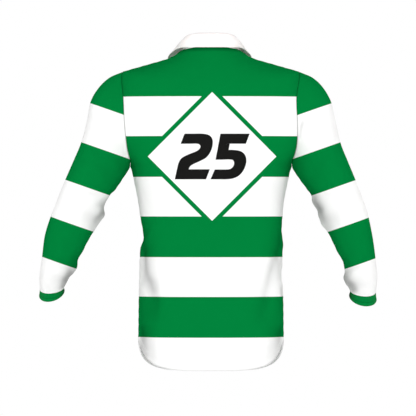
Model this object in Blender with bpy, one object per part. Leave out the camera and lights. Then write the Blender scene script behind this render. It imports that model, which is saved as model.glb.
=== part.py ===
"""Long-sleeved rugby shirt, hollow and filled out as when it is worn.

The wearer faces +Y and stands on -Z, with the right arm at +X. The origin is between the shoulders, at the
height where the shirt rests on them. Each cut piece is one closed wall of cloth, parted from the next by
SEAM_GAP. Tables are in millimetres and every mesh is in metres.
"""

import math
from collections import namedtuple

import bmesh
import bpy
import numpy as np
from mathutils import Matrix, Vector

MM = 0.001

# Driving dimensions
JERSEY = 0.0020  # wall of the body and the sleeves
RIB = 0.0024  # wall of the cuffs, rib knit turned double
TWILL = 0.0016  # wall of the collar and the placket
SEAM_GAP = 0.0003
FULLNESS = 0.05  # how much squarer than an ellipse the body is, seen from above
HEM_BACK_SPREAD = 0.76  # share of a quarter turn that the hem takes from the side seam to its lowest line
HEM_FRONT_SPREAD = 0.70
HEM_NOTCH = 0.015  # how round the hem's notch is at the side seam, as a share of a quarter turn
ARMHOLE_BACK = math.radians(31)  # how far the armhole cuts in from the side line
ARMHOLE_FRONT = math.radians(35)
EASE_FROM, EASE_TO = 5.5, 12.5  # levels between which a panel's columns lean away from its armholes
COLLAR_OPENING = math.radians(4)  # half of the gap between the collar's front ends
COLLAR_LIFT = 0.0010  # from the neck seam up to the collar stand's foot
COLLAR_SHIFT = -0.0030  # how far to -X it sits at its sides
ROLL_RADIUS = 0.0030  # of the collar's fold, to the middle of the cloth
ROLL_CLEARANCE = 0.0015  # from the stand's top up to the middle of the fold
FALL_BULGE = 0.0025  # how far the collar's fall rounds out and up between its fold and its edge
PLACKET_WIDTH = 0.032
PLACKET_DROP = 0.0030  # from the neck seam down to the placket's top
BUTTON_RADIUS = 0.0065
BUTTON_HEIGHT = 0.0030
BUTTON_SOFTNESS = 0.0008
BUTTON_LIFT = 0.0007  # what the thread holds it off the placket
FACE_BLEND = 0.028  # a trough on one face fades over this depth before the side line
SHOULDER_DROP = 0.026  # how much flatter the shoulder line starts than the smooth curve, per level
SEAM_MITRE = 0.6  # the least that the wall's own direction may share with the seam's

# Grid sizes
BODY_COLUMNS = 24
SIDE_ROWS = 14
ARMHOLE_ROWS = 10
SHOULDER_ROWS = 5
SLEEVE_ROWS = 22
CUFF_ROWS = 3
COLLAR_COLUMNS = 32
STAND_ROWS = 3
FALL_ROWS = 6
ROLL_ROWS = 3
PLACKET_ROWS = 14
PLACKET_COLUMNS = 4

GREEN = (0.002, 0.223, 0.043)
WHITE = (0.80, 0.80, 0.79)

# The body as a tube, one row for each level from the hem up to the neck seam: its side line, its centre
# back and its centre front.
Level = namedtuple("Level", "name side_x side_z back_y back_z front_y front_z")
LEVELS = (
    Level("hem", 174.5, -673, -112, -747, 118, -750),
    Level("tail", 174.3, -630, -112, -680, 118, -684),
    Level("hip", 173.5, -570, -113, -590, 119, -592),
    Level("flank", 172.0, -505, -110, -505, 118, -505),
    Level("waist", 171.0, -430, -107, -430, 117, -430),
    Level("rib", 173.0, -360, -112, -360, 122, -360),
    Level("chest", 183.0, -302, -119, -302, 129, -302),
    Level("armpit", 194.0, -258, -123, -258, 134, -258),
    Level("blade", 218.0, -201, -126, -208, 135, -222),
    Level("mid armhole", 230.0, -144, -126, -158, 131, -190),
    Level("high armhole", 226.0, -87, -122, -110, 122, -160),
    Level("shoulder point", 211.0, -31, -114, -64, 110, -132),
    Level("mid shoulder", 151.0, -14, -98, -28, 97, -107),
    Level("neck slope", 98.0, 2, -77, 3, 83, -84),
    Level("neck seam", 72.0, 19, -60, 29, 70, -62),
)
ARMPIT = 7
SHOULDER = 11
NECK = 14

# Soft troughs in the body, each along a straight line on one side of the shirt. Depth is inwards.
Trough = namedtuple("Trough", "name face from_x from_z to_x to_z width depth")
TROUGHS = (
    Trough("left hip drag", "back", -161, -460, -144, -584, 17, 11),
    Trough("right hip drag", "back", 164, -444, 117, -606, 14, 8),
    Trough("left waist tuck", "both", -178, -428, -166, -432, 36, 9),
    Trough("right waist tuck", "both", 178, -408, 170, -412, 20, 2),
    Trough("right hip tuck", "both", 176, -520, 165, -516, 20, 5),
    Trough("left front drag", "front", -152, -452, -112, -564, 17, 7),
    Trough("right front drag", "front", 152, -462, 108, -588, 16, 8),
)

# A sleeve, one row for each ring from the armhole to the open end of the cuff: its outermost and innermost
# point, half its depth from front to back, how far forward its centre lies, and how far its ring tips.
Ring = namedtuple("Ring", "outer_x outer_z inner_x inner_z depth centre_y pitch")
SLEEVES = {
    "left": (
        Ring(211, -31, 194, -258, 66, 4, 0),
        Ring(243, -45, 196, -263, 66, 4, 0),
        Ring(269, -69, 199, -269, 66, 3, 0),
        Ring(289, -103, 203, -275, 66, 2, 0),
        Ring(298, -150, 209, -284, 66, 1, 0),
        Ring(312, -202, 218, -298, 65, 0, 0),
        Ring(330, -245, 230, -315, 63, -1, 0),
        Ring(350, -291, 244, -330, 60, -2, 0),
        Ring(363, -322, 256, -357, 58, -1, 0),
        Ring(374, -352, 258, -384, 56, 0, 0),
        Ring(385, -379, 282, -416, 54, 3, 2),
        Ring(399, -424, 304, -455, 50, 8, 5),
        Ring(406, -476, 323, -505, 46, 17, 9),
        Ring(412, -520, 339, -525, 41, 28, 14),
        Ring(412, -554, 353, -548, 35, 41, 21),
        Ring(414, -568, 352, -556, 38, 47, 30),
    ),
    "right": (
        Ring(211, -31, 194, -258, 66, 4, 0),
        Ring(243, -45, 196, -263, 66, 4, 0),
        Ring(268, -68, 199, -269, 66, 3, 0),
        Ring(288, -103, 203, -275, 66, 2, 0),
        Ring(299, -150, 209, -284, 66, 1, 0),
        Ring(311, -202, 218, -297, 65, 0, 0),
        Ring(328, -245, 230, -313, 63, -1, 0),
        Ring(347, -291, 241, -329, 60, -2, 0),
        Ring(359, -322, 247, -352, 58, -1, 0),
        Ring(370, -352, 259, -382, 56, 0, 0),
        Ring(378, -379, 280, -416, 54, 3, 2),
        Ring(388, -427, 300, -457, 50, 8, 5),
        Ring(395, -476, 320, -503, 46, 17, 9),
        Ring(400, -525, 319, -530, 41, 29, 13),
        Ring(397, -560, 334, -555, 35, 42, 22),
        Ring(397, -577, 332, -567, 38, 48, 30),
    ),
}
CUFF_TOP = 14
CAP_RINGS = 4  # rings over which the armhole's own shape fades into an ellipse

# The collar, one row for each step from centre back to centre front: where it folds, and its free edge.
CollarRow = namedtuple("CollarRow", "fold_x fold_y fold_z edge_x edge_y edge_z")
COLLAR = (
    CollarRow(0, -66, 60, 0, -76, 26),
    CollarRow(36, -59, 59, 44, -69, 26),
    CollarRow(58, -34, 53, 72, -43, 25),
    CollarRow(64, 0, 39, 88, -2, 17),
    CollarRow(59, 33, 20, 101, 39, 0),
    CollarRow(38, 59, -6, 88, 80, -45),
    CollarRow(3, 73, -28, 43, 105, -94),
)

# Height of each button's centre on the placket, and where the placket ends.
BUTTON_HEIGHTS = (-78, -132, -186)
PLACKET_END = -232


def through(values, at):
    """A smooth cubic through equally spaced values, its slopes from their neighbours, read at any places."""
    values = np.asarray(values, float)
    slopes = np.gradient(values)
    at = np.clip(at, 0, len(values) - 1)
    low = np.minimum(at.astype(int), len(values) - 2)
    t = at - low
    start = (1 + 2 * t) * (1 - t) ** 2 * values[low] + t * (1 - t) ** 2 * slopes[low]
    return start + t**2 * (3 - 2 * t) * values[low + 1] + t**2 * (t - 1) * slopes[low + 1]


def column(table, name, at):
    """One named column of a table, smoothly read at fractional rows, in metres."""
    return through([getattr(row, name) for row in table], at) * MM


def unit(vectors):
    return vectors / np.maximum(np.linalg.norm(vectors, axis=-1, keepdims=True), 1e-12)


def hem_shape(turn):
    """0 at the side seam and 1 along the lowest line of the shirt-tail hem."""
    from_side = np.arcsin(np.abs(np.cos(turn))) / (math.pi / 2)
    rounded = np.hypot(from_side, HEM_NOTCH) - HEM_NOTCH
    spread = np.where(np.cos(turn) > 0, HEM_BACK_SPREAD, HEM_FRONT_SPREAD)
    return 1 - (1 - np.minimum(rounded / spread, 1)) ** 2


def shoulder_drop(turn, level):
    """How far the shoulder line lies below the smooth curve, in the first level inside the armhole."""
    past = np.clip(level - SHOULDER, 0, 1)
    return SHOULDER_DROP * past * (1 - past) ** 2 * np.sin(turn) ** 8


def plain_body(turn, level):
    """A point of the body's outer face. Turn is 0 at centre back and half a turn at centre front."""
    sine, cosine = np.sin(turn), np.cos(turn)
    full = 1 + FULLNESS * np.sin(2 * turn) ** 2
    back = cosine > 0
    reach = np.where(back, column(LEVELS, "back_y", level), -column(LEVELS, "front_y", level))
    middle_z = np.where(back, column(LEVELS, "back_z", level), column(LEVELS, "front_z", level))
    side_z = column(LEVELS, "side_z", level) - shoulder_drop(turn, level)
    shape = np.where(level < ARMPIT, hem_shape(turn), cosine**2)
    x = column(LEVELS, "side_x", level) * sine * full
    return np.stack([x, reach * cosine * full, side_z + (middle_z - side_z) * shape], -1)


def normals_of(surface, turn, level):
    """Outward normals of a body surface, from its slopes around and up."""
    step = 1e-3
    around = surface(turn + step, level) - surface(turn - step, level)
    upper, lower = np.minimum(level + step, NECK), np.maximum(level - step, 0)
    return unit(np.cross(around, surface(turn, upper) - surface(turn, lower)))


def trough_depth(points, trough):
    """How far a trough pushes each point in: full along its line, easing off around it and before the other
    face."""
    start = np.array([trough.from_x, trough.from_z]) * MM
    along = np.array([trough.to_x, trough.to_z]) * MM - start
    flat = points[..., [0, 2]] - start
    share = np.clip(flat @ along / (along @ along), 0, 1)
    away = np.linalg.norm(flat - share[..., None] * along, axis=-1)
    depth = trough.depth * MM * np.exp(-((away / (trough.width * MM)) ** 2))
    if trough.face == "both":
        return depth
    past_side = np.clip(points[..., 1] * (1 if trough.face == "front" else -1) / FACE_BLEND, 0, 1)
    return depth * past_side**2 * (3 - 2 * past_side)


def body(turn, level):
    """The body's outer face with its troughs pressed in."""
    turn, level = np.broadcast_arrays(np.asarray(turn, float), np.asarray(level, float))
    points = plain_body(turn, level)
    depth = sum(trough_depth(points, trough) for trough in TROUGHS)
    return points - normals_of(plain_body, turn, level) * depth[..., None]


def panel_rows():
    """Level and armhole share of each row of a panel, from the hem up. The share is 0 off the armhole."""
    side = np.linspace(0, ARMPIT, SIDE_ROWS + 1)
    angle = np.linspace(0, math.pi, ARMHOLE_ROWS + 1)[1:]
    armhole = ARMPIT + (SHOULDER - ARMPIT) * (1 - np.cos(angle)) / 2
    shoulder = np.linspace(SHOULDER, NECK, SHOULDER_ROWS + 1)[1:]
    levels = np.concatenate([side, armhole, shoulder])
    cut = np.concatenate([side * 0, np.sin(angle), shoulder * 0])
    return levels, cut


def panel_grid(front):
    """Turn and level of each point of a panel, rows from the hem up and columns from -X to +X."""
    levels, cut = panel_rows()
    across = np.linspace(-1, 1, BODY_COLUMNS + 1)
    eased = np.sin(math.pi * np.clip((levels - EASE_FROM) / (EASE_TO - EASE_FROM), 0, 1)) ** 2
    edge = across**6
    shift = edge * cut[:, None] + (across**2 - edge) * eased[:, None]
    armhole = ARMHOLE_FRONT if front else ARMHOLE_BACK
    turn = math.pi / 2 * across - armhole * np.sign(across) * shift
    if front:
        turn = math.pi - turn
    return turn, np.repeat(levels[:, None], BODY_COLUMNS + 1, axis=1)


def armhole_loop(side):
    """Turn and level round an armhole: from the shoulder point down the back and up the front."""
    angle = np.linspace(0, 2 * math.pi, 2 * ARMHOLE_ROWS, endpoint=False)
    level = ARMPIT + (SHOULDER - ARMPIT) * (1 + np.cos(angle)) / 2
    back = math.pi / 2 - ARMHOLE_BACK * np.sin(angle)
    front = math.pi / 2 - ARMHOLE_FRONT * np.sin(angle)
    return side * np.where(np.sin(angle) > 0, back, front), level


def ring(table, at, angle, side):
    """An ellipse round the arm, from a sleeve's table. Angle is 0 at its outermost point, then the back."""
    y = column(table, "centre_y", at)
    outer = np.stack([column(table, "outer_x", at), y, column(table, "outer_z", at)], -1)
    inner = np.stack([column(table, "inner_x", at), y, column(table, "inner_z", at)], -1)
    pitch = np.radians(column(table, "pitch", at) / MM)
    to_back = np.stack([at * 0, -np.cos(pitch), -np.sin(pitch)], -1)
    to_back *= column(table, "depth", at)[..., None]
    sine, cosine = np.sin(angle)[..., None], np.cos(angle)[..., None]
    points = (outer + inner) / 2 + (outer - inner) / 2 * cosine + to_back * sine
    return points * [side, 1, 1]


def sleeve_tube(side):
    """Points and outward normals of a sleeve with its cuff, in rings from the armhole down."""
    table = SLEEVES["right" if side > 0 else "left"]
    stations = np.concatenate(
        [np.linspace(0, CUFF_TOP, SLEEVE_ROWS + 1), np.linspace(CUFF_TOP, CUFF_TOP + 1, CUFF_ROWS + 1)[1:]]
    )
    angles = np.linspace(0, 2 * math.pi, 2 * ARMHOLE_ROWS, endpoint=False)
    at, angle = np.meshgrid(stations, angles, indexing="ij")
    points = ring(table, at, angle, side)
    loop = body(*armhole_loop(side))
    fade = np.clip(1 - stations / CAP_RINGS, 0, 1) ** 2
    points += fade[:, None, None] * (loop - points[0])
    around = np.roll(points, -1, axis=1) - np.roll(points, 1, axis=1)
    normals = unit(np.cross(around, np.gradient(points, axis=0))) * side
    return points, normals


def seam_frame(loop, body_normals, sleeve_normals, side):
    """Where cloth lies at the armhole seam: the shared outward direction, and the way from body to sleeve."""
    tangent = unit(np.roll(loop, -1, axis=0) - np.roll(loop, 1, axis=0)) * side
    into_body = unit(np.cross(tangent, body_normals))
    into_sleeve = -unit(np.cross(tangent, sleeve_normals))
    outward = unit(body_normals + sleeve_normals + into_body + into_sleeve)
    across = unit(np.cross(outward, tangent))
    return outward, across


def link(name, mesh, material):
    obj = bpy.data.objects.new(name, mesh)
    mesh.materials.append(material)
    mesh.shade_smooth()
    mesh.set_sharp_from_angle(angle=math.radians(40))
    bpy.context.scene.collection.objects.link(obj)
    return obj


def wall(name, outer, inner, material, closed=False):
    """A closed wall of cloth between two grids of points. A closed grid's last column meets its first."""
    rows, columns = outer.shape[:2]
    outside = np.arange(rows * columns).reshape(rows, columns)
    inside = outside + rows * columns
    if closed:
        outside = np.hstack([outside, outside[:, :1]])
        inside = np.hstack([inside, inside[:, :1]])
    faces = []
    for grid, turned in ((outside, False), (inside, True)):
        quads = np.stack([grid[:-1, :-1], grid[:-1, 1:], grid[1:, 1:], grid[1:, :-1]], -1).reshape(-1, 4)
        faces += [quad[::-1] if turned else quad for quad in quads]
    borders = [(outside[0], inside[0]), (outside[-1], inside[-1])]
    if not closed:
        borders += [(outside[:, 0], inside[:, 0]), (outside[:, -1], inside[:, -1])]
    for out_edge, in_edge in borders:
        faces += list(np.stack([out_edge[:-1], out_edge[1:], in_edge[1:], in_edge[:-1]], -1))
    points = np.concatenate([outer.reshape(-1, 3), inner.reshape(-1, 3)])
    mesh = bpy.data.meshes.new(name)
    mesh.from_pydata(points.tolist(), [], [face.tolist() for face in faces])
    solid = bmesh.new()
    solid.from_mesh(mesh)
    bmesh.ops.recalc_face_normals(solid, faces=solid.faces)
    solid.to_mesh(mesh)
    solid.free()
    return link(name, mesh, material)


def cloth(name, color, roughness):
    material = bpy.data.materials.new(name)
    material.use_nodes = True
    shader = material.node_tree.nodes["Principled BSDF"]
    shader.inputs["Base Color"].default_value = (*color, 1)
    shader.inputs["Roughness"].default_value = roughness
    shader.inputs["Metallic"].default_value = 0
    return material


def panel(name, front, seams, material):
    """The front or the back, from side seam to side seam. Its edges are drawn in by half a seam gap."""
    turn, level = panel_grid(front)
    points = body(turn, level)
    normals = normals_of(plain_body, turn, level)
    thickness = normals * JERSEY
    armhole = np.arange(SIDE_ROWS, SIDE_ROWS + ARMHOLE_ROWS + 1)
    place = np.arange(ARMHOLE_ROWS, -1, -1)
    if front:
        place = -place
    for edge, beside, side in ((0, 1, -1), (-1, -2, 1)):
        across, offset = seams[side]
        drawn_in = unit(points[:, beside] - points[:, edge]) * SEAM_GAP / 2
        drawn_in[armhole[1:-1]] = 0
        drawn_in[armhole] -= across[place] * SEAM_GAP / 2
        points[:, edge] += drawn_in
        thickness[armhole, edge] = offset[place]
    wall(name, points, points - thickness, material)


def sleeve_and_cuff(side, points, normals, seam, jersey, rib):
    """A set-in sleeve and the band that ends it, parted by a seam gap."""
    across, offset = seam
    thickness = normals * JERSEY
    points = points.copy()
    points[0] += across * SEAM_GAP / 2
    thickness[0] = offset
    down = unit(points[SLEEVE_ROWS + 1] - points[SLEEVE_ROWS]) * SEAM_GAP / 2
    name = "right" if side > 0 else "left"
    sleeve = points[: SLEEVE_ROWS + 1].copy()
    sleeve[-1] -= down
    wall("sleeve_" + name, sleeve, sleeve - thickness[: SLEEVE_ROWS + 1], jersey, closed=True)
    cuff = points[SLEEVE_ROWS:].copy()
    cuff[0] += down
    wall("cuff_" + name, cuff, cuff - normals[SLEEVE_ROWS:] * RIB, rib, closed=True)


def collar_line(prefix, share):
    """A line of the collar's table, from one front end (share -1) round the back to the other (share 1)."""
    half = np.array([[getattr(row, f"{prefix}_{axis}") for axis in "xyz"] for row in COLLAR])
    whole = np.concatenate([half[:0:-1] * [-1, 1, 1], half])
    at = (share + 1) * (len(COLLAR) - 1)
    points = np.stack([through(whole[:, axis], at) for axis in range(3)], -1) * MM
    points[:, 0] += COLLAR_SHIFT * 4 * share**2 * (1 - share**2)
    return points


def collar(material):
    """The stand rises from the neck seam to the fold, and the fall rolls over it and hangs down outside."""
    share = np.linspace(-1, 1, COLLAR_COLUMNS + 1)
    turn = share * (math.pi - COLLAR_OPENING)
    seam = body(turn, NECK)
    fold = collar_line("fold", share)
    edge = collar_line("edge", share)
    up = np.array([0, 0, 1.0])
    outward = unit(edge * [1, 1, 0])
    rise = np.linspace(0, 1, STAND_ROWS + 1)[:, None, None]
    foot = seam + up * COLLAR_LIFT
    head = fold - up * (ROLL_RADIUS + ROLL_CLEARANCE) - outward * ROLL_RADIUS
    stand = foot + (head - foot) * rise
    stand_out = unit(np.cross(np.gradient(stand, axis=1), np.gradient(stand, axis=0)))
    wall("collar_stand", stand + stand_out * TWILL / 2, stand - stand_out * TWILL / 2, material)
    bend = np.linspace(0, math.pi, ROLL_ROWS + 1)[:, None, None]
    roll = fold - outward * ROLL_RADIUS * np.cos(bend) + up * ROLL_RADIUS * (np.sin(bend) - 1)
    hang = np.linspace(0, 1, FALL_ROWS + 1)[1:, None, None]
    middle = (roll[-1] + edge) / 2 + (outward + up) * FALL_BULGE * 2
    fall = roll[-1] * (1 - hang) ** 2 + middle * 2 * hang * (1 - hang) + edge * hang**2
    fall = np.concatenate([roll, fall])
    fall_out = unit(np.cross(np.gradient(fall, axis=1), -np.gradient(fall, axis=0)))
    wall("collar_fall", fall + fall_out * TWILL / 2, fall - fall_out * TWILL / 2, material)


def front_level(height):
    """The level at which the centre front has this height."""
    levels = np.linspace(0, NECK, 1401)
    return np.interp(height, column(LEVELS, "front_z", levels), levels)


def placket(material):
    """A strip down the centre front, made from the front's own points moved out."""
    x = np.linspace(-1, 1, PLACKET_COLUMNS + 1) * PLACKET_WIDTH / 2
    top = column(LEVELS, "front_z", np.array(float(NECK))) - PLACKET_DROP
    level = front_level(np.linspace(top, PLACKET_END * MM, PLACKET_ROWS + 1))[:, None]
    turn = math.pi - np.arcsin(x / column(LEVELS, "side_x", level))
    turn, level = np.broadcast_arrays(turn, level)
    points = body(turn, level)
    normals = normals_of(plain_body, turn, level)
    inner = points + normals * SEAM_GAP
    wall("placket", inner + normals * TWILL, inner, material)


def button(name, height, material):
    """A round rubber button with a soft edge, its back just clear of the placket."""
    level = front_level(np.array(height * MM))
    turn = np.array(math.pi)
    out = Vector(normals_of(plain_body, turn, level))
    at = Vector(body(turn, level)) + out * (SEAM_GAP + TWILL + BUTTON_LIFT + BUTTON_HEIGHT / 2)
    disc = bmesh.new()
    bmesh.ops.create_cone(
        disc, cap_ends=True, segments=20, radius1=BUTTON_RADIUS, radius2=BUTTON_RADIUS, depth=BUTTON_HEIGHT
    )
    rims = [edge for edge in disc.edges if abs(edge.verts[0].co.z - edge.verts[1].co.z) < 1e-6]
    bmesh.ops.bevel(disc, geom=rims, offset=BUTTON_SOFTNESS, segments=2, affect="EDGES", profile=0.5)
    disc.transform(Matrix.Translation(at) @ out.to_track_quat("Z", "Y").to_matrix().to_4x4())
    mesh = bpy.data.meshes.new(name)
    disc.to_mesh(mesh)
    disc.free()
    return link(name, mesh, material)


def clear_scene():
    for obj in list(bpy.data.objects):
        bpy.data.objects.remove(obj, do_unlink=True)


def main():
    clear_scene()
    jersey = cloth("hooped cotton jersey", GREEN, 0.85)
    rib = cloth("green rib", GREEN, 0.9)
    twill = cloth("white cotton twill", WHITE, 0.8)
    rubber = cloth("white rubber", WHITE, 0.5)
    seams = {}
    for side in (-1, 1):
        points, normals = sleeve_tube(side)
        turn, level = armhole_loop(side)
        body_normals = normals_of(plain_body, turn, level)
        outward, across = seam_frame(points[0], body_normals, normals[0], side)
        mitre = np.maximum(np.sum(outward * body_normals, axis=-1), SEAM_MITRE)
        seams[side] = (across, outward * JERSEY / mitre[:, None])
        sleeve_and_cuff(side, points, normals, seams[side], jersey, rib)
    panel("back_panel", False, seams, jersey)
    panel("front_panel", True, seams, jersey)
    collar(twill)
    placket(twill)
    for number, height in enumerate(BUTTON_HEIGHTS, 1):
        button(f"button_{number}", height, rubber)


main()
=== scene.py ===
# Long-sleeved rugby shirt seen from behind: hooped jersey, rib cuffs, a twill collar and a buttoned placket.
# Each section is one piece or group of like pieces, in the order in which a shirt is cut, sewn and finished.
# Tables are in millimetres and meshes in metres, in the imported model's frame: the wearer stands on -Z, faces
# +Y and has the right arm at +X. A side is -1 for the left arm and 1 for the right.

import math
from collections import namedtuple
from functools import partial

import bpy
import numpy as np
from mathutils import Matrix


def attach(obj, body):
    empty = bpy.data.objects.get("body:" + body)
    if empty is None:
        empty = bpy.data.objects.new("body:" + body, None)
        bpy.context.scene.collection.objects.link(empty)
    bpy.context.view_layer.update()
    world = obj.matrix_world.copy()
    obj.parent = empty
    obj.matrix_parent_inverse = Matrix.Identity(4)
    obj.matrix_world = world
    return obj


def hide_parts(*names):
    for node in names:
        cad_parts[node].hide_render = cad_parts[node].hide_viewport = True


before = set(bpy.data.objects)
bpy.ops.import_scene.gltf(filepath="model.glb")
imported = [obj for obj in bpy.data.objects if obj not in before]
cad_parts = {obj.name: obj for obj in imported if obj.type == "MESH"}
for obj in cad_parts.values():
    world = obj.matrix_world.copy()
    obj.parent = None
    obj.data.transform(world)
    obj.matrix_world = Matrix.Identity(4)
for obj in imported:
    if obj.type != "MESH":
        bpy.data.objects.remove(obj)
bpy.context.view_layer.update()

MM = 0.001

# -----------------------------------------------------------------------------------------------------------
# Camera, light and floor. A long lens stands straight behind the shirt, at the height of its middle. Most of
# the soft light comes from the camera's side, so cloth is brightest where it faces the camera and darkens as
# it turns away. Other panels light the shoulders from above, the arms' outer edges and the front.

FIELD_WIDTH = 0.9984  # what the frame spans at the shirt
FOCAL_LENGTH = 600 * MM
SENSOR_WIDTH = 36 * MM
VIEW_CENTRE = (-0.0072, 0.0, -0.3583)
FLOOR_HEIGHT = -1.45  # a wearer's shoulder height below the origin
FLOOR_WIDTH = 20.0
FLOOR_GREY = (0.9, 0.9, 0.9, 1)
FLOOR_ROUGHNESS = 0.95
SKY_SEEN = 1.0
SKY_LIGHT = 0.44

LightPanel = namedtuple("LightPanel", "name x y z width height watts")
LIGHT_PANELS = (
    LightPanel("back key", 0.0, -5.0, 0.0, 2.6, 2.2, 132),
    LightPanel("high back", 0.0, -3.0, 4.0, 2.6, 1.6, 72),
    LightPanel("left side", -4.0, -0.3, 1.3, 1.6, 1.6, 50),
    LightPanel("right side", 4.0, -0.3, 1.3, 1.6, 1.6, 50),
    LightPanel("front fill", 1.6, 4.6, 1.8, 2.0, 1.8, 104),
)


def add_object(name, data):
    """A new object in the scene for a mesh, a light or a lens."""
    made = bpy.data.objects.new(name, data)
    bpy.context.scene.collection.objects.link(made)
    return made


def add_camera():
    lens = bpy.data.cameras.new("camera")
    lens.lens = FOCAL_LENGTH / MM
    lens.sensor_width = SENSOR_WIDTH / MM
    lens.clip_end = 200
    camera = add_object("camera", lens)
    distance = FIELD_WIDTH * FOCAL_LENGTH / SENSOR_WIDTH
    camera.location = (VIEW_CENTRE[0], -distance, VIEW_CENTRE[2])
    camera.rotation_euler = (math.pi / 2, 0, 0)
    bpy.context.scene.camera = camera


def add_light(panel):
    """A flat soft light that faces the middle of the shirt and isn't itself seen."""
    data = bpy.data.lights.new(panel.name, "AREA")
    data.shape = "RECTANGLE"
    data.size, data.size_y = panel.width, panel.height
    data.energy = panel.watts
    light = add_object(panel.name, data)
    light.location = (panel.x, panel.y, panel.z)
    toward = light.location - type(light.location)(VIEW_CENTRE)
    light.rotation_euler = toward.to_track_quat("Z", "Y").to_euler()
    light.visible_camera = False


def node(tree, kind, inputs=None, **settings):
    """A shader node with its settings, and with its inputs set to a value or linked to a socket."""
    made = tree.nodes.new(kind)
    for name, value in settings.items():
        setattr(made, name, value)
    for key, value in (inputs or {}).items():
        if isinstance(value, bpy.types.NodeSocket):
            tree.links.new(made.inputs[key], value)
        else:
            made.inputs[key].default_value = value
    return made


def add_sky():
    """White where the camera sees it, and dimmer as light, so that the panels shape the cloth."""
    world = bpy.data.worlds.new("studio")
    world.use_nodes = True
    tree = world.node_tree
    tree.nodes.clear()
    lighting, seen = (
        node(tree, "ShaderNodeBackground", {"Color": (1, 1, 1, 1), "Strength": strength}).outputs[0]
        for strength in (SKY_LIGHT, SKY_SEEN)
    )
    path = node(tree, "ShaderNodeLightPath").outputs["Is Camera Ray"]
    mix = node(tree, "ShaderNodeMixShader", {0: path, 1: lighting, 2: seen})
    node(tree, "ShaderNodeOutputWorld", {"Surface": mix.outputs[0]})
    bpy.context.scene.world = world


def add_floor():
    half = FLOOR_WIDTH / 2
    mesh = bpy.data.meshes.new("floor")
    corners = [(x, y, FLOOR_HEIGHT) for x, y in ((-half, -half), (half, -half), (half, half), (-half, half))]
    mesh.from_pydata(corners, [], [(0, 1, 2, 3)])
    paint = bpy.data.materials.new("pale floor")
    paint.use_nodes = True
    shader = paint.node_tree.nodes["Principled BSDF"]
    shader.inputs["Base Color"].default_value = FLOOR_GREY
    shader.inputs["Roughness"].default_value = FLOOR_ROUGHNESS
    mesh.materials.append(paint)
    add_object("floor", mesh)


add_camera()
for light_panel in LIGHT_PANELS:
    add_light(light_panel)
add_sky()
add_floor()
bpy.context.scene.view_settings.view_transform = "Standard"

# -----------------------------------------------------------------------------------------------------------
# Back panel. One piece of heavy cotton jersey, knitted in green and white hoops, from the neck seam down to a
# shirt-tail hem that is turned up once and sewn in two rows. A green-edged white diamond is printed on it.
# The rows of its grid run from the hem up, and its columns from -X to +X.

GREEN = (0.0005, 0.178, 0.036, 1)
WHITE = (0.85, 0.85, 0.845, 1)
JERSEY = 2.0 * MM  # thickness
SEAM_GAP = 0.3 * MM
FULLNESS = 0.05  # how much squarer than an ellipse the body is, seen from above
HEM_BACK_SPREAD = 0.80  # share of a quarter turn that the hem takes from the side seam to its lowest line
HEM_FRONT_SPREAD = 0.70
HEM_NOTCH = 0.015  # how round the hem's notch is at the side seam, as a share of a quarter turn
ARMHOLE_BACK = math.radians(29.4)  # how far in from the side line each armhole is cut
ARMHOLE_FRONT = math.radians(35)
ARMHOLE_WIDER = {-1: 1.0, 1: 1.02}  # how far each back armhole is cut in, as a share
ARMHOLE_SWING = {-1: 0.0, 1: -0.12}  # and how much more so towards the armpit than the shoulder
EASE_FROM, EASE_TO = 5.5, 12.5  # levels between which the columns lean away from the armholes
SHOULDER_DROP = 26 * MM  # how much flatter the shoulder line starts than the smooth curve, per level
SEAM_MITRE = 0.6

BODY_COLUMNS = 168
HEM_ROWS = 18
HEM_LEVEL = 0.5  # the hem rows reach up to here
SIDE_ROWS = 104
ARMHOLE_ROWS = 56
SHOULDER_ROWS = 22
ARMHOLE_ROW = HEM_ROWS + SIDE_ROWS  # the row at the armpit
EDGE_GRADING = 0.7  # how much closer the columns stand at the seams

SEAM_DIP = 0.4 * MM  # how far cloth is drawn in along a seam
SEAM_DIP_REACH = 3.0 * MM
SEAM_SHADE = 0.42  # painted shade at the bottom of a set-in seam; side seams get less
SIDE_SEAM_SHADE = 0.15
SEAM_SHADE_REACH = 1.4 * MM
PUCKER = 0.35 * MM  # waves beside a seam
PUCKER_PITCH = 23 * MM
PUCKER_REACH = 9 * MM
PUCKER_WANDER = 1.3  # radians by which the waves run ahead and fall back
PUCKER_WANDER_PITCH = 3.1  # how slowly they do, against the waves' own pitch
RIGHT_SEAM_WAVE = 2.0  # where in its waves the pucker of the seam at +X starts, in radians
HEM_TURNING = 20 * MM  # width of the turned-up hem
HEM_RAISE = 0.35 * MM
HEM_STEP_AT, HEM_STEP_WIDTH = 2 * MM, 3 * MM  # before its turning's edge, and how wide the step down is
HEM_GROOVE = 0.45 * MM
HEM_GROOVE_AT, HEM_GROOVE_REACH = 3 * MM, 2.2 * MM
HEM_SHADE = 0.30  # painted shade along its very edge
HEM_SHADE_REACH = 2.6 * MM

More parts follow.
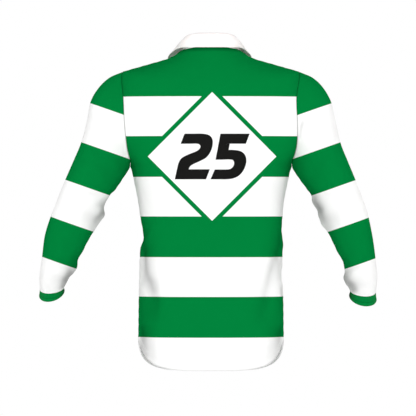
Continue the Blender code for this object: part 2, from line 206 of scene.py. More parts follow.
# The body as a tube, a row for each level from the hem up: its side line, its centre back and centre front.
Level = namedtuple("Level", "name side_x side_z back_y back_z front_y front_z")
LEVELS = (
    Level("hem", 174.5, -673, -112, -747, 118, -750),
    Level("tail", 174.3, -630, -112, -680, 118, -684),
    Level("hip", 173.5, -570, -113, -590, 119, -592),
    Level("flank", 172.0, -505, -110, -505, 118, -505),
    Level("waist", 171.0, -430, -107, -430, 117, -430),
    Level("rib", 173.0, -360, -112, -360, 122, -360),
    Level("chest", 183.0, -302, -119, -302, 129, -302),
    Level("armpit", 194.0, -258, -123, -258, 134, -258),
    Level("blade", 218.0, -201, -126, -208, 135, -222),
    Level("mid armhole", 230.0, -144, -126, -158, 131, -190),
    Level("high armhole", 226.0, -87, -122, -110, 122, -160),
    Level("shoulder point", 211.0, -31, -114, -64, 110, -132),
    Level("mid shoulder", 151.0, -14, -98, -28, 97, -107),
    Level("neck slope", 98.0, 2, -77, 3, 83, -84),
    Level("neck seam", 72.0, 19, -60, 29, 70, -62),
)
ARMPIT, SHOULDER, NECK = 7, 11, 14

# Folds, each along a curve through three places as seen from behind. Left and right are how far the fold
# eases off on each side of its run, depth is inwards, shade is painted shade, how much darker its bottom is
# painted for the light that the fold keeps from it, and head and tail are how much of it is left at its ends.
# A form of 1 eases off as a sharp crease, 2 as a bell, 4 as a flat trough.
FOLD_COLUMNS = "name face x1 z1 x2 z2 x3 z3 left right depth shade head tail left_form right_form"
Fold = namedtuple("Fold", FOLD_COLUMNS, defaults=(2, 2))
# Rows without depth, such as the hem edges, are only painted shade.
BODY_FOLDS = (
    Fold("left waist tuck", "both", -180, -428, -172, -432, -162, -438, 40, 30, 8.8, 0.02, 1.0, 0.2),
    Fold("left hip drag", "back", -170, -466, -162, -526, -142, -570, 19, 10, 12.0, 0.30, 0.9, 0.2, 1.2, 2.5),
    Fold("left hip hollow", "back", -152, -548, -149, -588, -154, -632, 22, 20, 10.0, 0.12, 0.6, 0.2, 3, 2),
    Fold("left hem corner", "back", -170, -636, -165, -672, -156, -712, 24, 14, 8.0, 0.15, 0.3, 0.9),
    Fold("left hem edge", "back", -179, -634, -178, -672, -173, -706, 16, 15, 0.0, 0.28, 0.1, 0.9, 3, 3),
    Fold("right waist tuck", "both", 178, -404, 172, -410, 160, -416, 16, 16, 1.4, 0.0, 1.0, 0.3),
    Fold("right waist ridge", "both", 180, -446, 172, -446, 160, -446, 16, 16, -2.4, 0.0, 1.0, 0.3),
    Fold("right hip drag", "back", 178, -444, 150, -522, 121, -620, 12, 17, 11.0, 0.16, 0.9, 0.35, 2, 1.5),
    Fold("right hip drag, inner", "back", 132, -500, 120, -548, 98, -606, 12, 12, 1.6, 0.0, 0.2, 0.2),
    Fold("right edge crease", "back", 170, -546, 172, -562, 175, -582, 3, 4, 2.0, 0.22, 0.3, 0.3),
    Fold("right hip tuck", "both", 180, -524, 172, -520, 160, -514, 18, 20, 3.4, 0.0, 1.0, 0.4),
    Fold("right hem corner", "back", 174, -640, 167, -672, 158, -712, 14, 24, 8.0, 0.10, 0.1, 0.9),
    Fold("right hem edge", "back", 179, -634, 178, -672, 173, -706, 15, 16, 0.0, 0.22, 0.1, 0.8, 3, 3),
    Fold("left blade hollow", "back", -178, -262, -150, -318, -136, -372, 22, 26, 2.2, 0.02, 0.2, 0.2),
    Fold("right blade hollow", "back", 176, -266, 153, -322, 141, -380, 26, 22, 2.2, 0.02, 0.2, 0.2),
    Fold("left armhole drag", "back", -206, -236, -186, -254, -160, -262, 9, 12, 2.2, 0.03, 0.3, 0.1),
    Fold("right armhole drag", "back", 204, -240, 182, -256, 154, -260, 12, 9, 2.4, 0.03, 0.3, 0.1),
    Fold("left front drag", "front", -156, -446, -141, -505, -110, -566, 14, 10, 9.0, 0.14, 0.8, 0.4, 1.5, 2),
    Fold("left front drag, tail", "front", -116, -545, -101, -592, -86, -640, 22, 13, 3.0, 0.03, 0.1, 0.1),
    Fold("right front drag", "front", 158, -458, 140, -522, 106, -590, 9, 16, 9.6, 0.14, 0.8, 0.4, 2, 1.5),
    Fold("right front drag, inner", "front", 120, -470, 108, -516, 88, -560, 11, 12, 2.4, 0.02, 0.1, 0.1),
    Fold("left chest drape", "front", -176, -250, -142, -286, -92, -310, 20, 10, 3.4, 0.03, 0.3, 0.2),
    Fold("right chest drape", "front", 174, -256, 144, -288, 98, -306, 9, 18, 3.0, 0.03, 0.3, 0.2),
    Fold("left collarbone", "front", -150, -96, -118, -142, -96, -190, 17, 20, 1.8, 0.0, 0.1, 0.1),
    Fold("right collarbone", "front", 148, -98, 120, -140, 102, -178, 20, 17, 1.6, 0.0, 0.1, 0.1),
)
FOLD_STEPS = 25  # places along a fold's curve at which its distance is taken
FACE_BLEND = 28 * MM  # a fold on one face fades over this depth before the side line
CREASE_ROUNDING = 1.0 * MM  # how round the bottom of a sharp crease is
# the most painted shade that the folds give one place
DEEPEST_SHADE = 0.6
SHARP_EDGE = math.radians(55)  # a fold of the mesh past this is shaded as an edge


def through(values, at):
    """A smooth cubic through equally spaced values, its slopes from their neighbours, read at any places."""
    values = np.asarray(values, float)
    slopes = np.gradient(values)
    at = np.clip(at, 0, len(values) - 1)
    low = np.minimum(np.asarray(at).astype(int), len(values) - 2)
    t = at - low
    start = (1 + 2 * t) * (1 - t) ** 2 * values[low] + t * (1 - t) ** 2 * slopes[low]
    return start + t**2 * (3 - 2 * t) * values[low + 1] + t**2 * (t - 1) * slopes[low + 1]


def column(table, name, at):
    """One named column of a table, smoothly read at fractional rows, in metres."""
    return through([getattr(row, name) for row in table], at) * MM


def unit(vectors):
    return vectors / np.maximum(np.linalg.norm(vectors, axis=-1, keepdims=True), 1e-12)


def smooth_step(value):
    value = np.clip(value, 0, 1)
    return value * value * (3 - 2 * value)


def hem_shape(turn):
    """0 at the side seam and 1 along the lowest line of the shirt-tail hem, along a parabola between them."""
    from_side = np.arcsin(np.abs(np.cos(turn))) / (math.pi / 2)
    rounded = np.hypot(from_side, HEM_NOTCH) - HEM_NOTCH
    spread = np.where(np.cos(turn) > 0, HEM_BACK_SPREAD, HEM_FRONT_SPREAD)
    return 1 - (1 - np.minimum(rounded / spread, 1)) ** 2


def shoulder_drop(turn, level):
    """How far the shoulder line lies below the smooth curve, in the first level inside the armhole."""
    past = np.clip(level - SHOULDER, 0, 1)
    return SHOULDER_DROP * past * (1 - past) ** 2 * np.sin(turn) ** 8


def plain_body(turn, level):
    """The body's outer face: ellipses a little squared, whose height sinks from the side line to the middle
    by the hem's shape below the armpits and by the square of the cosine above. Turn is 0 at centre back."""
    sine, cosine = np.sin(turn), np.cos(turn)
    full = 1 + FULLNESS * np.sin(2 * turn) ** 2
    back = cosine > 0
    reach = np.where(back, column(LEVELS, "back_y", level), -column(LEVELS, "front_y", level))
    middle_z = np.where(back, column(LEVELS, "back_z", level), column(LEVELS, "front_z", level))
    side_z = column(LEVELS, "side_z", level) - shoulder_drop(turn, level)
    shape = np.where(level < ARMPIT, hem_shape(turn), cosine**2)
    x = column(LEVELS, "side_x", level) * sine * full
    return np.stack([x, reach * cosine * full, side_z + (middle_z - side_z) * shape], -1)


def body_normals(turn, level):
    """Outward normals of the plain body, from its slopes around and up."""
    step = 1e-3
    around = plain_body(turn + step, level) - plain_body(turn - step, level)
    upper, lower = np.minimum(level + step, NECK), np.maximum(level - step, 0)
    return unit(np.cross(around, plain_body(turn, upper) - plain_body(turn, lower)))


def fold_relief(points, folds, middle_y=0.0):
    """How far the folds press each point in, and their painted shade: the share of light that they keep from
    it, painted into the cloth's colour. Each eases off from its curve, a parabola through its three places, as
    the exponential of minus the distance over its width, to the power of its form. It fades by the square of
    the way to its ends, and before the other face."""
    depth, shade = np.zeros((2,) + points.shape[:-1])
    share = np.linspace(0, 1, FOLD_STEPS)[:, None]
    behind = {"back": -1, "front": 1}
    for fold in folds:
        first, middle, last = np.reshape(fold[2:8], (3, 2)) * MM
        bend = 2 * middle - (first + last) / 2
        curve = first * (1 - share) ** 2 + bend * 2 * share * (1 - share) + last * share**2
        steps = np.gradient(curve, axis=0)
        away = points[..., None, [0, 2]] - curve
        nearest = np.argmin(np.sum(away**2, axis=-1), axis=-1)
        offset = np.take_along_axis(away, nearest[..., None, None], axis=-2)[..., 0, :]
        step = np.linalg.norm(steps[nearest], axis=-1)
        run = steps[nearest] / step[..., None]
        ahead = np.sum(run * offset, axis=-1)
        aside = run[..., 0] * offset[..., 1] - run[..., 1] * offset[..., 0]
        distance = np.hypot(aside, np.maximum(np.abs(ahead) - step / 2, 0))
        distance = np.hypot(distance, CREASE_ROUNDING) - CREASE_ROUNDING
        width = np.where(aside > 0, fold.left, fold.right) * MM
        press = np.exp(-((distance / width) ** np.where(aside > 0, fold.left_form, fold.right_form)))
        from_middle = np.clip(2 * (nearest + ahead / step) / (FOLD_STEPS - 1) - 1, -1, 1)
        press *= 1 - (1 - np.where(from_middle < 0, fold.head, fold.tail)) * from_middle**2
        if fold.face in behind:
            press *= smooth_step((points[..., 1] - middle_y) * behind[fold.face] / FACE_BLEND)
        depth += fold.depth * MM * press
        shade += fold.shade * press
    return depth, np.clip(shade, 0, DEEPEST_SHADE)


def body(turn, level):
    """The body's outer face with its folds pressed in."""
    turn, level = np.broadcast_arrays(np.asarray(turn, float), np.asarray(level, float))
    points = plain_body(turn, level)
    return points - body_normals(turn, level) * fold_relief(points, BODY_FOLDS)[0][..., None]


def panel_rows():
    """Level and armhole share of each row of a panel, from the hem up. The share is 0 off the armhole."""
    hem = np.linspace(0, HEM_LEVEL, HEM_ROWS + 1)[:-1]
    side = np.linspace(HEM_LEVEL, ARMPIT, SIDE_ROWS + 1)
    angle = np.linspace(0, math.pi, ARMHOLE_ROWS + 1)[1:]
    armhole = ARMPIT + (SHOULDER - ARMPIT) * (1 - np.cos(angle)) / 2
    shoulder = np.linspace(SHOULDER, NECK, SHOULDER_ROWS + 1)[1:]
    cut = np.concatenate([hem * 0, side * 0, np.sin(angle), shoulder * 0])
    return np.concatenate([hem, side, armhole, shoulder]), cut


def armhole_cut(front, side, sine, cosine):
    """How far a panel is cut in at an armhole, by the sine and cosine of the angle from the armpit."""
    if front:
        return ARMHOLE_FRONT * sine
    return ARMHOLE_BACK * sine * (ARMHOLE_WIDER[side] + 2 * ARMHOLE_SWING[side] * cosine)


def panel_grid(front):
    """Turn and level of each point of a panel, rows from the hem up and columns from -X to +X."""
    levels, cut = panel_rows()
    even = np.linspace(-1, 1, BODY_COLUMNS + 1)
    across = even + EDGE_GRADING * (np.sin(math.pi / 2 * even) - even)
    eased = np.sin(math.pi * np.clip((levels - EASE_FROM) / (EASE_TO - EASE_FROM), 0, 1)) ** 2
    edge = across**6
    cosine = 1 - 2 * np.clip((levels - ARMPIT) / (SHOULDER - ARMPIT), 0, 1)
    left, right = (armhole_cut(front, side, cut, cosine)[:, None] for side in (-1, 1))
    cut_in = np.where(across < 0, left, right)
    lean = (ARMHOLE_FRONT if front else ARMHOLE_BACK) * eased[:, None]
    turn = math.pi / 2 * across - np.sign(across) * (edge * cut_in + (across**2 - edge) * lean)
    if front:
        turn = math.pi - turn
    return turn, np.repeat(levels[:, None], BODY_COLUMNS + 1, axis=1)


def armhole_loop(side):
    """Turn and level round an armhole: from the armpit up the front and down the back."""
    angle = math.pi + np.linspace(0, 2 * math.pi, 2 * ARMHOLE_ROWS + 1)[:-1]
    level = ARMPIT + (SHOULDER - ARMPIT) * (1 + np.cos(angle)) / 2
    sine, cosine = np.sin(angle), -np.cos(angle)
    cut_in = np.where(sine > 0, armhole_cut(False, side, sine, cosine), armhole_cut(True, side, sine, cosine))
    return side * (math.pi / 2 - cut_in), level


def run_length(points, axis):
    """How far each point of a grid lies along its row or column, from that line's start."""
    lengths = np.linalg.norm(np.diff(points, axis=axis), axis=-1)
    start = np.zeros_like(np.take(lengths, [0], axis=axis))
    return np.cumsum(np.concatenate([start, lengths], axis=axis), axis=axis)


def bell(distance, height, reach):
    """A height, depth or shade that eases off on both sides of a seam or an edge."""
    return height * np.exp(-((distance / reach) ** 2))


def seam_relief(distance, along, wave_shift=0.0):
    """Height beside a seam: the stitches draw the cloth in at it, and it puckers in uneven short waves."""
    wander = PUCKER_WANDER * np.sin(along / (PUCKER_WANDER_PITCH * PUCKER_PITCH))
    beat = np.sin(2 * math.pi * along / PUCKER_PITCH + wave_shift + wander)
    pucker = PUCKER * beat * (distance / PUCKER_REACH) * np.exp(1 - distance / PUCKER_REACH)
    return pucker - bell(distance, SEAM_DIP, SEAM_DIP_REACH)


def hem_relief(distance):
    """Height above the plain cloth near a turned hem: double up to its turning, sewn down in a groove."""
    raised = HEM_RAISE * (1 - smooth_step((distance - HEM_TURNING + HEM_STEP_AT) / HEM_STEP_WIDTH))
    return raised - bell(distance - HEM_TURNING + HEM_GROOVE_AT, HEM_GROOVE, HEM_GROOVE_REACH)


def panel_shade(front, points):
    """Painted shade on the panel: how much darker its folds, its seams and the rolled edge of its hem are
    painted.
    """
    folds = fold_relief(plain_body(*panel_grid(front)), BODY_FOLDS)[1]
    along, up = run_length(points, 1), run_length(points, 0)
    below_armhole = np.arange(len(points)) < ARMHOLE_ROW
    seam_shade = np.where(below_armhole, SIDE_SEAM_SHADE, SEAM_SHADE)[:, None]
    seams = bell(np.minimum(along, along[:, -1:] - along), seam_shade, SEAM_SHADE_REACH)
    return 1 - (1 - folds) * (1 - seams) * (1 - bell(up, HEM_SHADE, HEM_SHADE_REACH))


def mesh_piece(name, points, face_groups, material, corner_uv=None, shade=None):
    """A mesh from arrays: points, and groups of faces with the same number of corners. Shade is painted
    shade: the share of light that folds, seams and edges keep from each point, darkening its colour."""
    mesh = bpy.data.meshes.new(name)
    corners = np.concatenate([group.ravel() for group in face_groups]).astype(np.int32)
    totals = np.concatenate([np.full(len(group), group.shape[1]) for group in face_groups]).astype(np.int32)
    mesh.vertices.add(len(points))
    mesh.vertices.foreach_set("co", np.ascontiguousarray(points, np.float32).ravel())
    mesh.loops.add(len(corners))
    mesh.loops.foreach_set("vertex_index", corners)
    mesh.polygons.add(len(totals))
    mesh.polygons.foreach_set("loop_start", (np.cumsum(totals) - totals).astype(np.int32))
    if corner_uv is not None:
        layer = mesh.uv_layers.new(name="cloth")
        layer.data.foreach_set("uv", np.ascontiguousarray(corner_uv, np.float32).ravel())
    if shade is not None:
        stored = mesh.attributes.new("shade", "FLOAT", "POINT")
        stored.data.foreach_set("value", np.ravel(shade).astype(np.float32))
    mesh.update(calc_edges=True)
    mesh.validate()
    mesh.shade_smooth()
    mesh.set_sharp_from_angle(angle=SHARP_EDGE)
    mesh.materials.append(material)
    piece = add_object(name, mesh)
    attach(piece, "root")
    return piece


def grid_quads(cell):
    """The four corners of each cell of a grid of point numbers, row by row."""
    return np.stack([cell[:-1, :-1], cell[:-1, 1:], cell[1:, 1:], cell[1:, :-1]], -1).reshape(-1, 4)


def cloth_wall(name, outer, inner, uv, material, closed=False, shade=None):
    """A wall of cloth: quads over the outer grid, the same turned over on the inner grid, and a strip along
    each open edge. A closed grid's last column repeats its first, and is welded to it."""
    rows, columns = outer.shape[:2]
    cell = np.arange(rows * columns).reshape(rows, columns)
    count = rows * columns
    quads = grid_quads(cell)
    edges = [cell[0, ::-1], cell[-1]]
    if not closed:
        edges += [cell[:, 0], cell[::-1, -1]]
    strips = [np.stack([edge[:-1], edge[1:], edge[1:] + count, edge[:-1] + count], -1) for edge in edges]
    faces = np.concatenate([quads, quads[:, ::-1] + count, *strips])
    points = np.concatenate([outer.reshape(-1, 3), inner.reshape(-1, 3)])
    a, b, c = (points[quads[:, k]] for k in (0, 1, 3))
    if np.sum(np.cross(b - a, c - a) * (a - points[quads[:, 0] + count])) < 0:
        faces = faces[:, ::-1]
    corner_uv = np.concatenate([uv.reshape(-1, 2)] * 2)[faces]
    if closed:
        stored = np.arange(rows * (columns - 1)).reshape(rows, columns - 1)
        stored = np.hstack([stored, stored[:, :1]]).ravel()
        kept = rows * (columns - 1)
        points = np.concatenate([outer[:, :-1].reshape(-1, 3), inner[:, :-1].reshape(-1, 3)])
        faces = np.concatenate([stored, stored + kept])[faces]
        shade = shade[:, :-1] if shade is not None else None
    if shade is not None:
        shade = np.concatenate([shade.ravel(), shade.ravel() * 0])
    return mesh_piece(name, points, [faces], material, corner_uv, shade)


def math_node(tree, operation, *values, clamp=False):
    inputs = dict(enumerate(values))
    return node(tree, "ShaderNodeMath", inputs, operation=operation, use_clamp=clamp).outputs[0]


def effect_group(name, inputs, *outputs):
    """A node group with named number inputs and outputs. Returns its tree, its maths, and both of those."""
    tree = bpy.data.node_groups.new(name, "ShaderNodeTree")
    for key, value in inputs.items():
        socket = tree.interface.new_socket(key, in_out="INPUT", socket_type="NodeSocketFloat")
        socket.default_value = value
    for key in outputs:
        tree.interface.new_socket(key, in_out="OUTPUT", socket_type="NodeSocketFloat")
    given = tree.nodes.new("NodeGroupInput").outputs
    return tree, partial(math_node, tree), given, tree.nodes.new("NodeGroupOutput").inputs


def use_group(tree, group, **inputs):
    """Places a node group in a material, with its named inputs set or linked."""
    return node(tree, "ShaderNodeGroup", inputs, node_tree=group).outputs


def cloth_place(tree):
    """Where a point lies on the cloth as it was cut: across it and up it."""
    uv = node(tree, "ShaderNodeUVMap", uv_map="cloth").outputs[0]
    return node(tree, "ShaderNodeSeparateXYZ", {0: uv}).outputs


def object_place(tree):
    place = node(tree, "ShaderNodeTexCoord").outputs["Object"]
    return node(tree, "ShaderNodeSeparateXYZ", {0: place}).outputs


def knit_group():
    """Plain knit: each wale holds a stack of Vs, two legs of yarn that lean away from each other. The height
    is a cosine up the leaning leg, times a sine across it."""
    inputs = {"Wale": 1.4 * MM, "Course": 1.1 * MM, "Lean": 0.8}
    tree, maths, given, out = effect_group("knit loops", inputs, "Height")
    place = cloth_place(tree)
    wale = maths("DIVIDE", place[0], given["Wale"])
    course = maths("DIVIDE", place[1], given["Course"])
    from_middle = maths("PINGPONG", wale, 0.5)
    lifted = maths("MULTIPLY_ADD", from_middle, maths("MULTIPLY", given["Lean"], 2.0), course)
    turn = maths("MULTIPLY", lifted, 2 * math.pi)
    strand = maths("MULTIPLY_ADD", maths("COSINE", turn), 0.5, 0.5)
    leg = maths("SINE", maths("MULTIPLY", from_middle, 2 * math.pi))
    tree.links.new(out["Height"], maths("MULTIPLY", strand, maths("ABSOLUTE", leg)))
    return tree


def hoop_group():
    """Hoops as a mask, 1 on white. Along is the way across the hoops from First, the first edge, and each
    hoop is Width wide. Soft is the width over which one yarn gives way to the next, Inset how much narrower
    the white is at each edge."""
    inputs = {"Along": 0.0, "First": 0.0, "Width": 96.4 * MM, "Soft": 0.7 * MM, "Inset": 0.7 * MM}
    tree, maths, given, out = effect_group("knitted hoops", inputs, "White")
    past = maths("SUBTRACT", given["Along"], given["First"])
    phase = maths("MAXIMUM", maths("DIVIDE", past, given["Width"]), -0.5)
    wave = maths("PINGPONG", maths("SUBTRACT", phase, 0.5), 1.0)
    inside = maths("MULTIPLY", maths("SUBTRACT", 0.5, wave), given["Width"])
    inside = maths("SUBTRACT", inside, given["Inset"])
    mask = maths("ADD", maths("DIVIDE", inside, given["Soft"]), 0.5, clamp=True)
    tree.links.new(out["White"], mask)
    return tree


def mottle_group():
    """Uneven dye and lint: a value around 1 that wanders by Amount, over patches of Patch and over fibres."""
    inputs = {"Patch": 45 * MM, "Fibre": 1.2 * MM, "Amount": 0.03}
    tree, maths, given, out = effect_group("cloth mottle", inputs, "Value", "Fuzz")
    place = node(tree, "ShaderNodeTexCoord").outputs["Object"]
    noise = []
    for key in ("Patch", "Fibre"):
        inputs = {"Vector": place, "Scale": maths("DIVIDE", 1.0, given[key]), "Detail": 2.0}
        noise.append(node(tree, "ShaderNodeTexNoise", inputs).outputs["Fac"])
    both = maths("SUBTRACT", maths("ADD", *noise), 1.0)
    tree.links.new(out["Value"], maths("MULTIPLY_ADD", both, given["Amount"], 1.0))
    tree.links.new(out["Fuzz"], noise[1])
    return tree


KNIT = knit_group()
HOOPS = hoop_group()
MOTTLE = mottle_group()

CLOTH_SHEEN = 0.03
LEAST_ROUGHNESS = 0.76
FUZZ_ROUGHNESS = 0.16  # how much rougher loose fibres make it
FUZZ_HEIGHT = 0.3  # how high they stand, as a share of the weave
WEAVE_STRENGTH = 0.55  # share of the weave's slopes that the light sees
JERSEY_RELIEF = 0.35 * MM


def mix_colour(tree, factor, first, second, blend="MIX"):
    inputs = {0: factor, 6: first, 7: second}
    made = node(tree, "ShaderNodeMix", inputs, data_type="RGBA", blend_type=blend, clamp_factor=True)
    return made.outputs[2]


def tint(tree, colour, value):
    """A colour made lighter or darker by a value around 1."""
    grey = node(tree, "ShaderNodeCombineColor", {0: value, 1: value, 2: value}).outputs[0]
    return mix_colour(tree, 1.0, colour, grey, "MULTIPLY")


def new_material(name, roughness=0.85, sheen=0.0, specular=0.0):
    """A material's tree and shader, with the finish that is the same all over set on the shader itself."""
    material = bpy.data.materials.new(name)
    material.use_nodes = True
    tree = material.node_tree
    shader = tree.nodes["Principled BSDF"]
    shader.inputs["Roughness"].default_value = roughness
    shader.inputs["Specular IOR Level"].default_value = specular
    shader.inputs["Sheen Weight"].default_value = sheen
    shader.inputs["Sheen Roughness"].default_value = 0.5
    return material, tree, shader


def add_relief(tree, shader, height, relief, strength):
    """Gives a shader the slopes of a height from 0 to 1 that stands up to relief."""
    bump = node(tree, "ShaderNodeBump", {"Height": height, "Distance": relief, "Strength": strength})
    tree.links.new(shader.inputs["Normal"], bump.outputs[0])


def finish_cloth(tree, shader, colour, weave, relief, mottle):
    """Puts a colour and a weave on a cloth's shader, with uneven dye and lint, and with painted shade: the
    colour is darkened where its folds, seams and edges keep light off.
    """
    # painted shade, stored on the mesh as the share of light kept off
    kept_off = node(tree, "ShaderNodeAttribute", attribute_name="shade").outputs["Fac"]
    colour = tint(tree, colour, math_node(tree, "SUBTRACT", 1.0, kept_off))
    tree.links.new(shader.inputs["Base Color"], tint(tree, colour, mottle["Value"]))
    rough = math_node(tree, "MULTIPLY_ADD", mottle["Fuzz"], FUZZ_ROUGHNESS, LEAST_ROUGHNESS)
    tree.links.new(shader.inputs["Roughness"], rough)
    raised = math_node(tree, "MULTIPLY_ADD", mottle["Fuzz"], FUZZ_HEIGHT, use_group(tree, weave)["Height"])
    add_relief(tree, shader, raised, relief, WEAVE_STRENGTH)


BODY_FIRST_HOOP = 91.3 * MM  # below the origin
SLEEVE_FIRST_HOOP = 196.5 * MM
HOOP_WIDTH = 95.95 * MM
SLEEVE_HOOP_WIDTH = 96.4 * MM
SLEEVE_LEAN = (0.332, -0.943)  # the way across a sleeve's hoops: sideways and up
PRINT_X, PRINT_Z = 2.6 * MM, -235.4 * MM
DIAMOND = 153.5 * MM  # from its middle to a corner
DIAMOND_EDGE = 14.6 * MM  # how much further out the green edge's corners are
PRINT_SOFT = 0.4 * MM


def diamond_mask(tree, place, reach):
    """1 inside a diamond, where the ways aside and up from its middle add up to less than reach."""
    aside = math_node(tree, "ABSOLUTE", math_node(tree, "SUBTRACT", place[0], PRINT_X))
    above = math_node(tree, "ABSOLUTE", math_node(tree, "SUBTRACT", place[2], PRINT_Z))
    inside = math_node(tree, "SUBTRACT", reach, math_node(tree, "ADD", aside, above))
    return math_node(tree, "MULTIPLY_ADD", inside, 1 / PRINT_SOFT, 0.5, clamp=True)


def down_body(tree, place):
    return math_node(tree, "MULTIPLY", place[2], -1.0)


def down_sleeve(tree, place):
    outward = math_node(tree, "MULTIPLY", math_node(tree, "ABSOLUTE", place[0]), SLEEVE_LEAN[0])
    return math_node(tree, "MULTIPLY_ADD", place[2], SLEEVE_LEAN[1], outward)


# The way across the hoops, where the first one starts and how wide each is.
BODY_HOOPS = (down_body, BODY_FIRST_HOOP, HOOP_WIDTH)
SLEEVE_HOOPS = (down_sleeve, SLEEVE_FIRST_HOOP, SLEEVE_HOOP_WIDTH)


def hoop_colour(tree, place, hoops, green, white):
    along, first, width = hoops
    mask = use_group(tree, HOOPS, Along=along(tree, place), First=first, Width=width)["White"]
    return mix_colour(tree, mask, green, white)


def hooped_jersey(name, hoops, printed=False):
    """Jersey in green and white hoops, with the diamond over them where it's printed."""
    material, tree, shader = new_material(name)
    place = object_place(tree)
    colour = hoop_colour(tree, place, hoops, GREEN, WHITE)
    if printed:
        for reach, dye in ((DIAMOND + DIAMOND_EDGE, GREEN), (DIAMOND, WHITE)):
            colour = mix_colour(tree, diamond_mask(tree, place, reach), colour, dye)
    finish_cloth(tree, shader, colour, KNIT, JERSEY_RELIEF, use_group(tree, MOTTLE))
    return material


def seam_frame(loop, normals, sleeve_normals, side):
    """Where cloth lies at the armhole seam: the shared outward direction, and the way from body to sleeve."""
    tangent = unit(np.roll(loop, -1, axis=0) - np.roll(loop, 1, axis=0)) * side
    into_body = unit(np.cross(tangent, normals))
    into_sleeve = -unit(np.cross(tangent, sleeve_normals))
    outward = unit(normals + sleeve_normals + into_body + into_sleeve)
    return outward, unit(np.cross(outward, tangent))


# A sleeve, a row for each ring from the armhole to the open end of the cuff: its outermost and innermost
# point, half its depth from front to back, how far forward its centre lies, and how far its ring tips.
Ring = namedtuple("Ring", "outer_x outer_z inner_x inner_z depth centre_y pitch")
SLEEVES = {
    -1: (
        Ring(211, -31, 194, -258, 66, 4, 0),
        Ring(243, -45, 196, -263, 66, 4, 0),
        Ring(269, -69, 199, -269, 66, 3, 0),
        Ring(289, -103, 203, -275, 66, 2, 0),
        Ring(298, -150, 209, -284, 66, 1, 0),
        Ring(312, -202, 218, -298, 65, 0, 0),
        Ring(330, -245, 230, -315, 63, -1, 0),
        Ring(350, -291, 244, -330, 60, -2, 0),
        Ring(363, -322, 256, -357, 58, -1, 0),
        Ring(374, -352, 258, -384, 56, 0, 0),
        Ring(385, -379, 282, -416, 54, 3, 2),
        Ring(399, -424, 304, -455, 50, 8, 5),
        Ring(406, -476, 323, -505, 46, 17, 9),
        Ring(412, -520, 339, -525, 41, 28, 14),
        Ring(412, -554, 353, -548, 35, 41, 21),
        Ring(414, -570, 352, -558, 38.5, 47, 30),
    ),
    1: (
        Ring(211, -31, 194, -258, 66, 4, 0),
        Ring(243, -45, 196, -263, 66, 4, 0),
        Ring(268, -68, 199, -269, 66, 3, 0),
        Ring(288, -103, 203, -275, 66, 2, 0),
        Ring(299, -150, 209, -284, 66, 1, 0),
        Ring(311, -202, 218, -297, 65, 0, 0),
        Ring(328, -245, 230, -313, 63, -1, 0),
        Ring(347, -291, 241, -329, 60, -2, 0),
        Ring(359, -322, 247, -352, 58, -1, 0),
        Ring(370, -352, 259, -382, 56, 0, 0),
        Ring(378, -379, 280, -416, 54, 3, 2),
        Ring(388, -427, 300, -457, 50, 8, 5),
        Ring(395, -476, 320, -503, 46, 17, 9),
        Ring(400, -525, 319, -530, 41, 29, 13),
        Ring(397, -560, 334, -555, 35, 42, 22),
        Ring(399, -580, 332, -570, 38.5, 48, 30),
    ),
}
CUFF_TOP = 14
CAP_RINGS = 4  # rings over which the armhole's own shape fades into an ellipse
SLEEVE_ROWS = 150
CUFF_ROWS = 26


def arm_ring(side, at, angle):
    """An ellipse round the arm. Angle is 0 at its outermost point, then the back."""
    table = SLEEVES[side]
    y = column(table, "centre_y", at)
    outer = np.stack([column(table, "outer_x", at), y, column(table, "outer_z", at)], -1)
    inner = np.stack([column(table, "inner_x", at), y, column(table, "inner_z", at)], -1)
    pitch = np.radians(column(table, "pitch", at) / MM)
    to_back = np.stack([at * 0, -np.cos(pitch), -np.sin(pitch)], -1)
    to_back = to_back * column(table, "depth", at)[..., None]
    points = (outer + inner) / 2 + (outer - inner) / 2 * np.cos(angle)[..., None]
    return (points + to_back * np.sin(angle)[..., None]) * [side, 1, 1]


def arm_tube(side, stations):
    """Plain points and outward normals of a sleeve with its cuff, at these stations from the armhole down.
    The first ring is the armhole itself, and its shape fades out over the cap."""
    angles = math.pi + np.linspace(0, 2 * math.pi, 2 * ARMHOLE_ROWS + 1)[:-1]
    at, angle = np.meshgrid(stations, angles, indexing="ij")
    points = arm_ring(side, at, angle)
    loop = body(*armhole_loop(side))
    fade = np.clip(1 - stations / CAP_RINGS, 0, 1) ** 2
    points = points + fade[:, None, None] * (loop - points[0])
    around = np.roll(points, -1, axis=1) - np.roll(points, 1, axis=1)
    normals = unit(np.cross(around, np.gradient(points, axis=0))) * side
    return points, normals


def arm_stations():
    sleeve = np.linspace(0, CUFF_TOP, SLEEVE_ROWS + 1)
    return np.concatenate([sleeve, np.linspace(CUFF_TOP, CUFF_TOP + 1, CUFF_ROWS + 1)[1:]])


def armhole_seam(side):
    """The seam's way from body to sleeve, and the offset of its inner face, round the armhole loop."""
    points, normals = arm_tube(side, arm_stations())
    turn, level = armhole_loop(side)
    own = body_normals(turn, level)
    outward, across = seam_frame(points[0], own, normals[0], side)
    mitre = np.maximum(np.sum(outward * own, axis=-1), SEAM_MITRE)
    return across, outward * JERSEY / mitre[:, None]


SEAMS = {side: armhole_seam(side) for side in (-1, 1)}


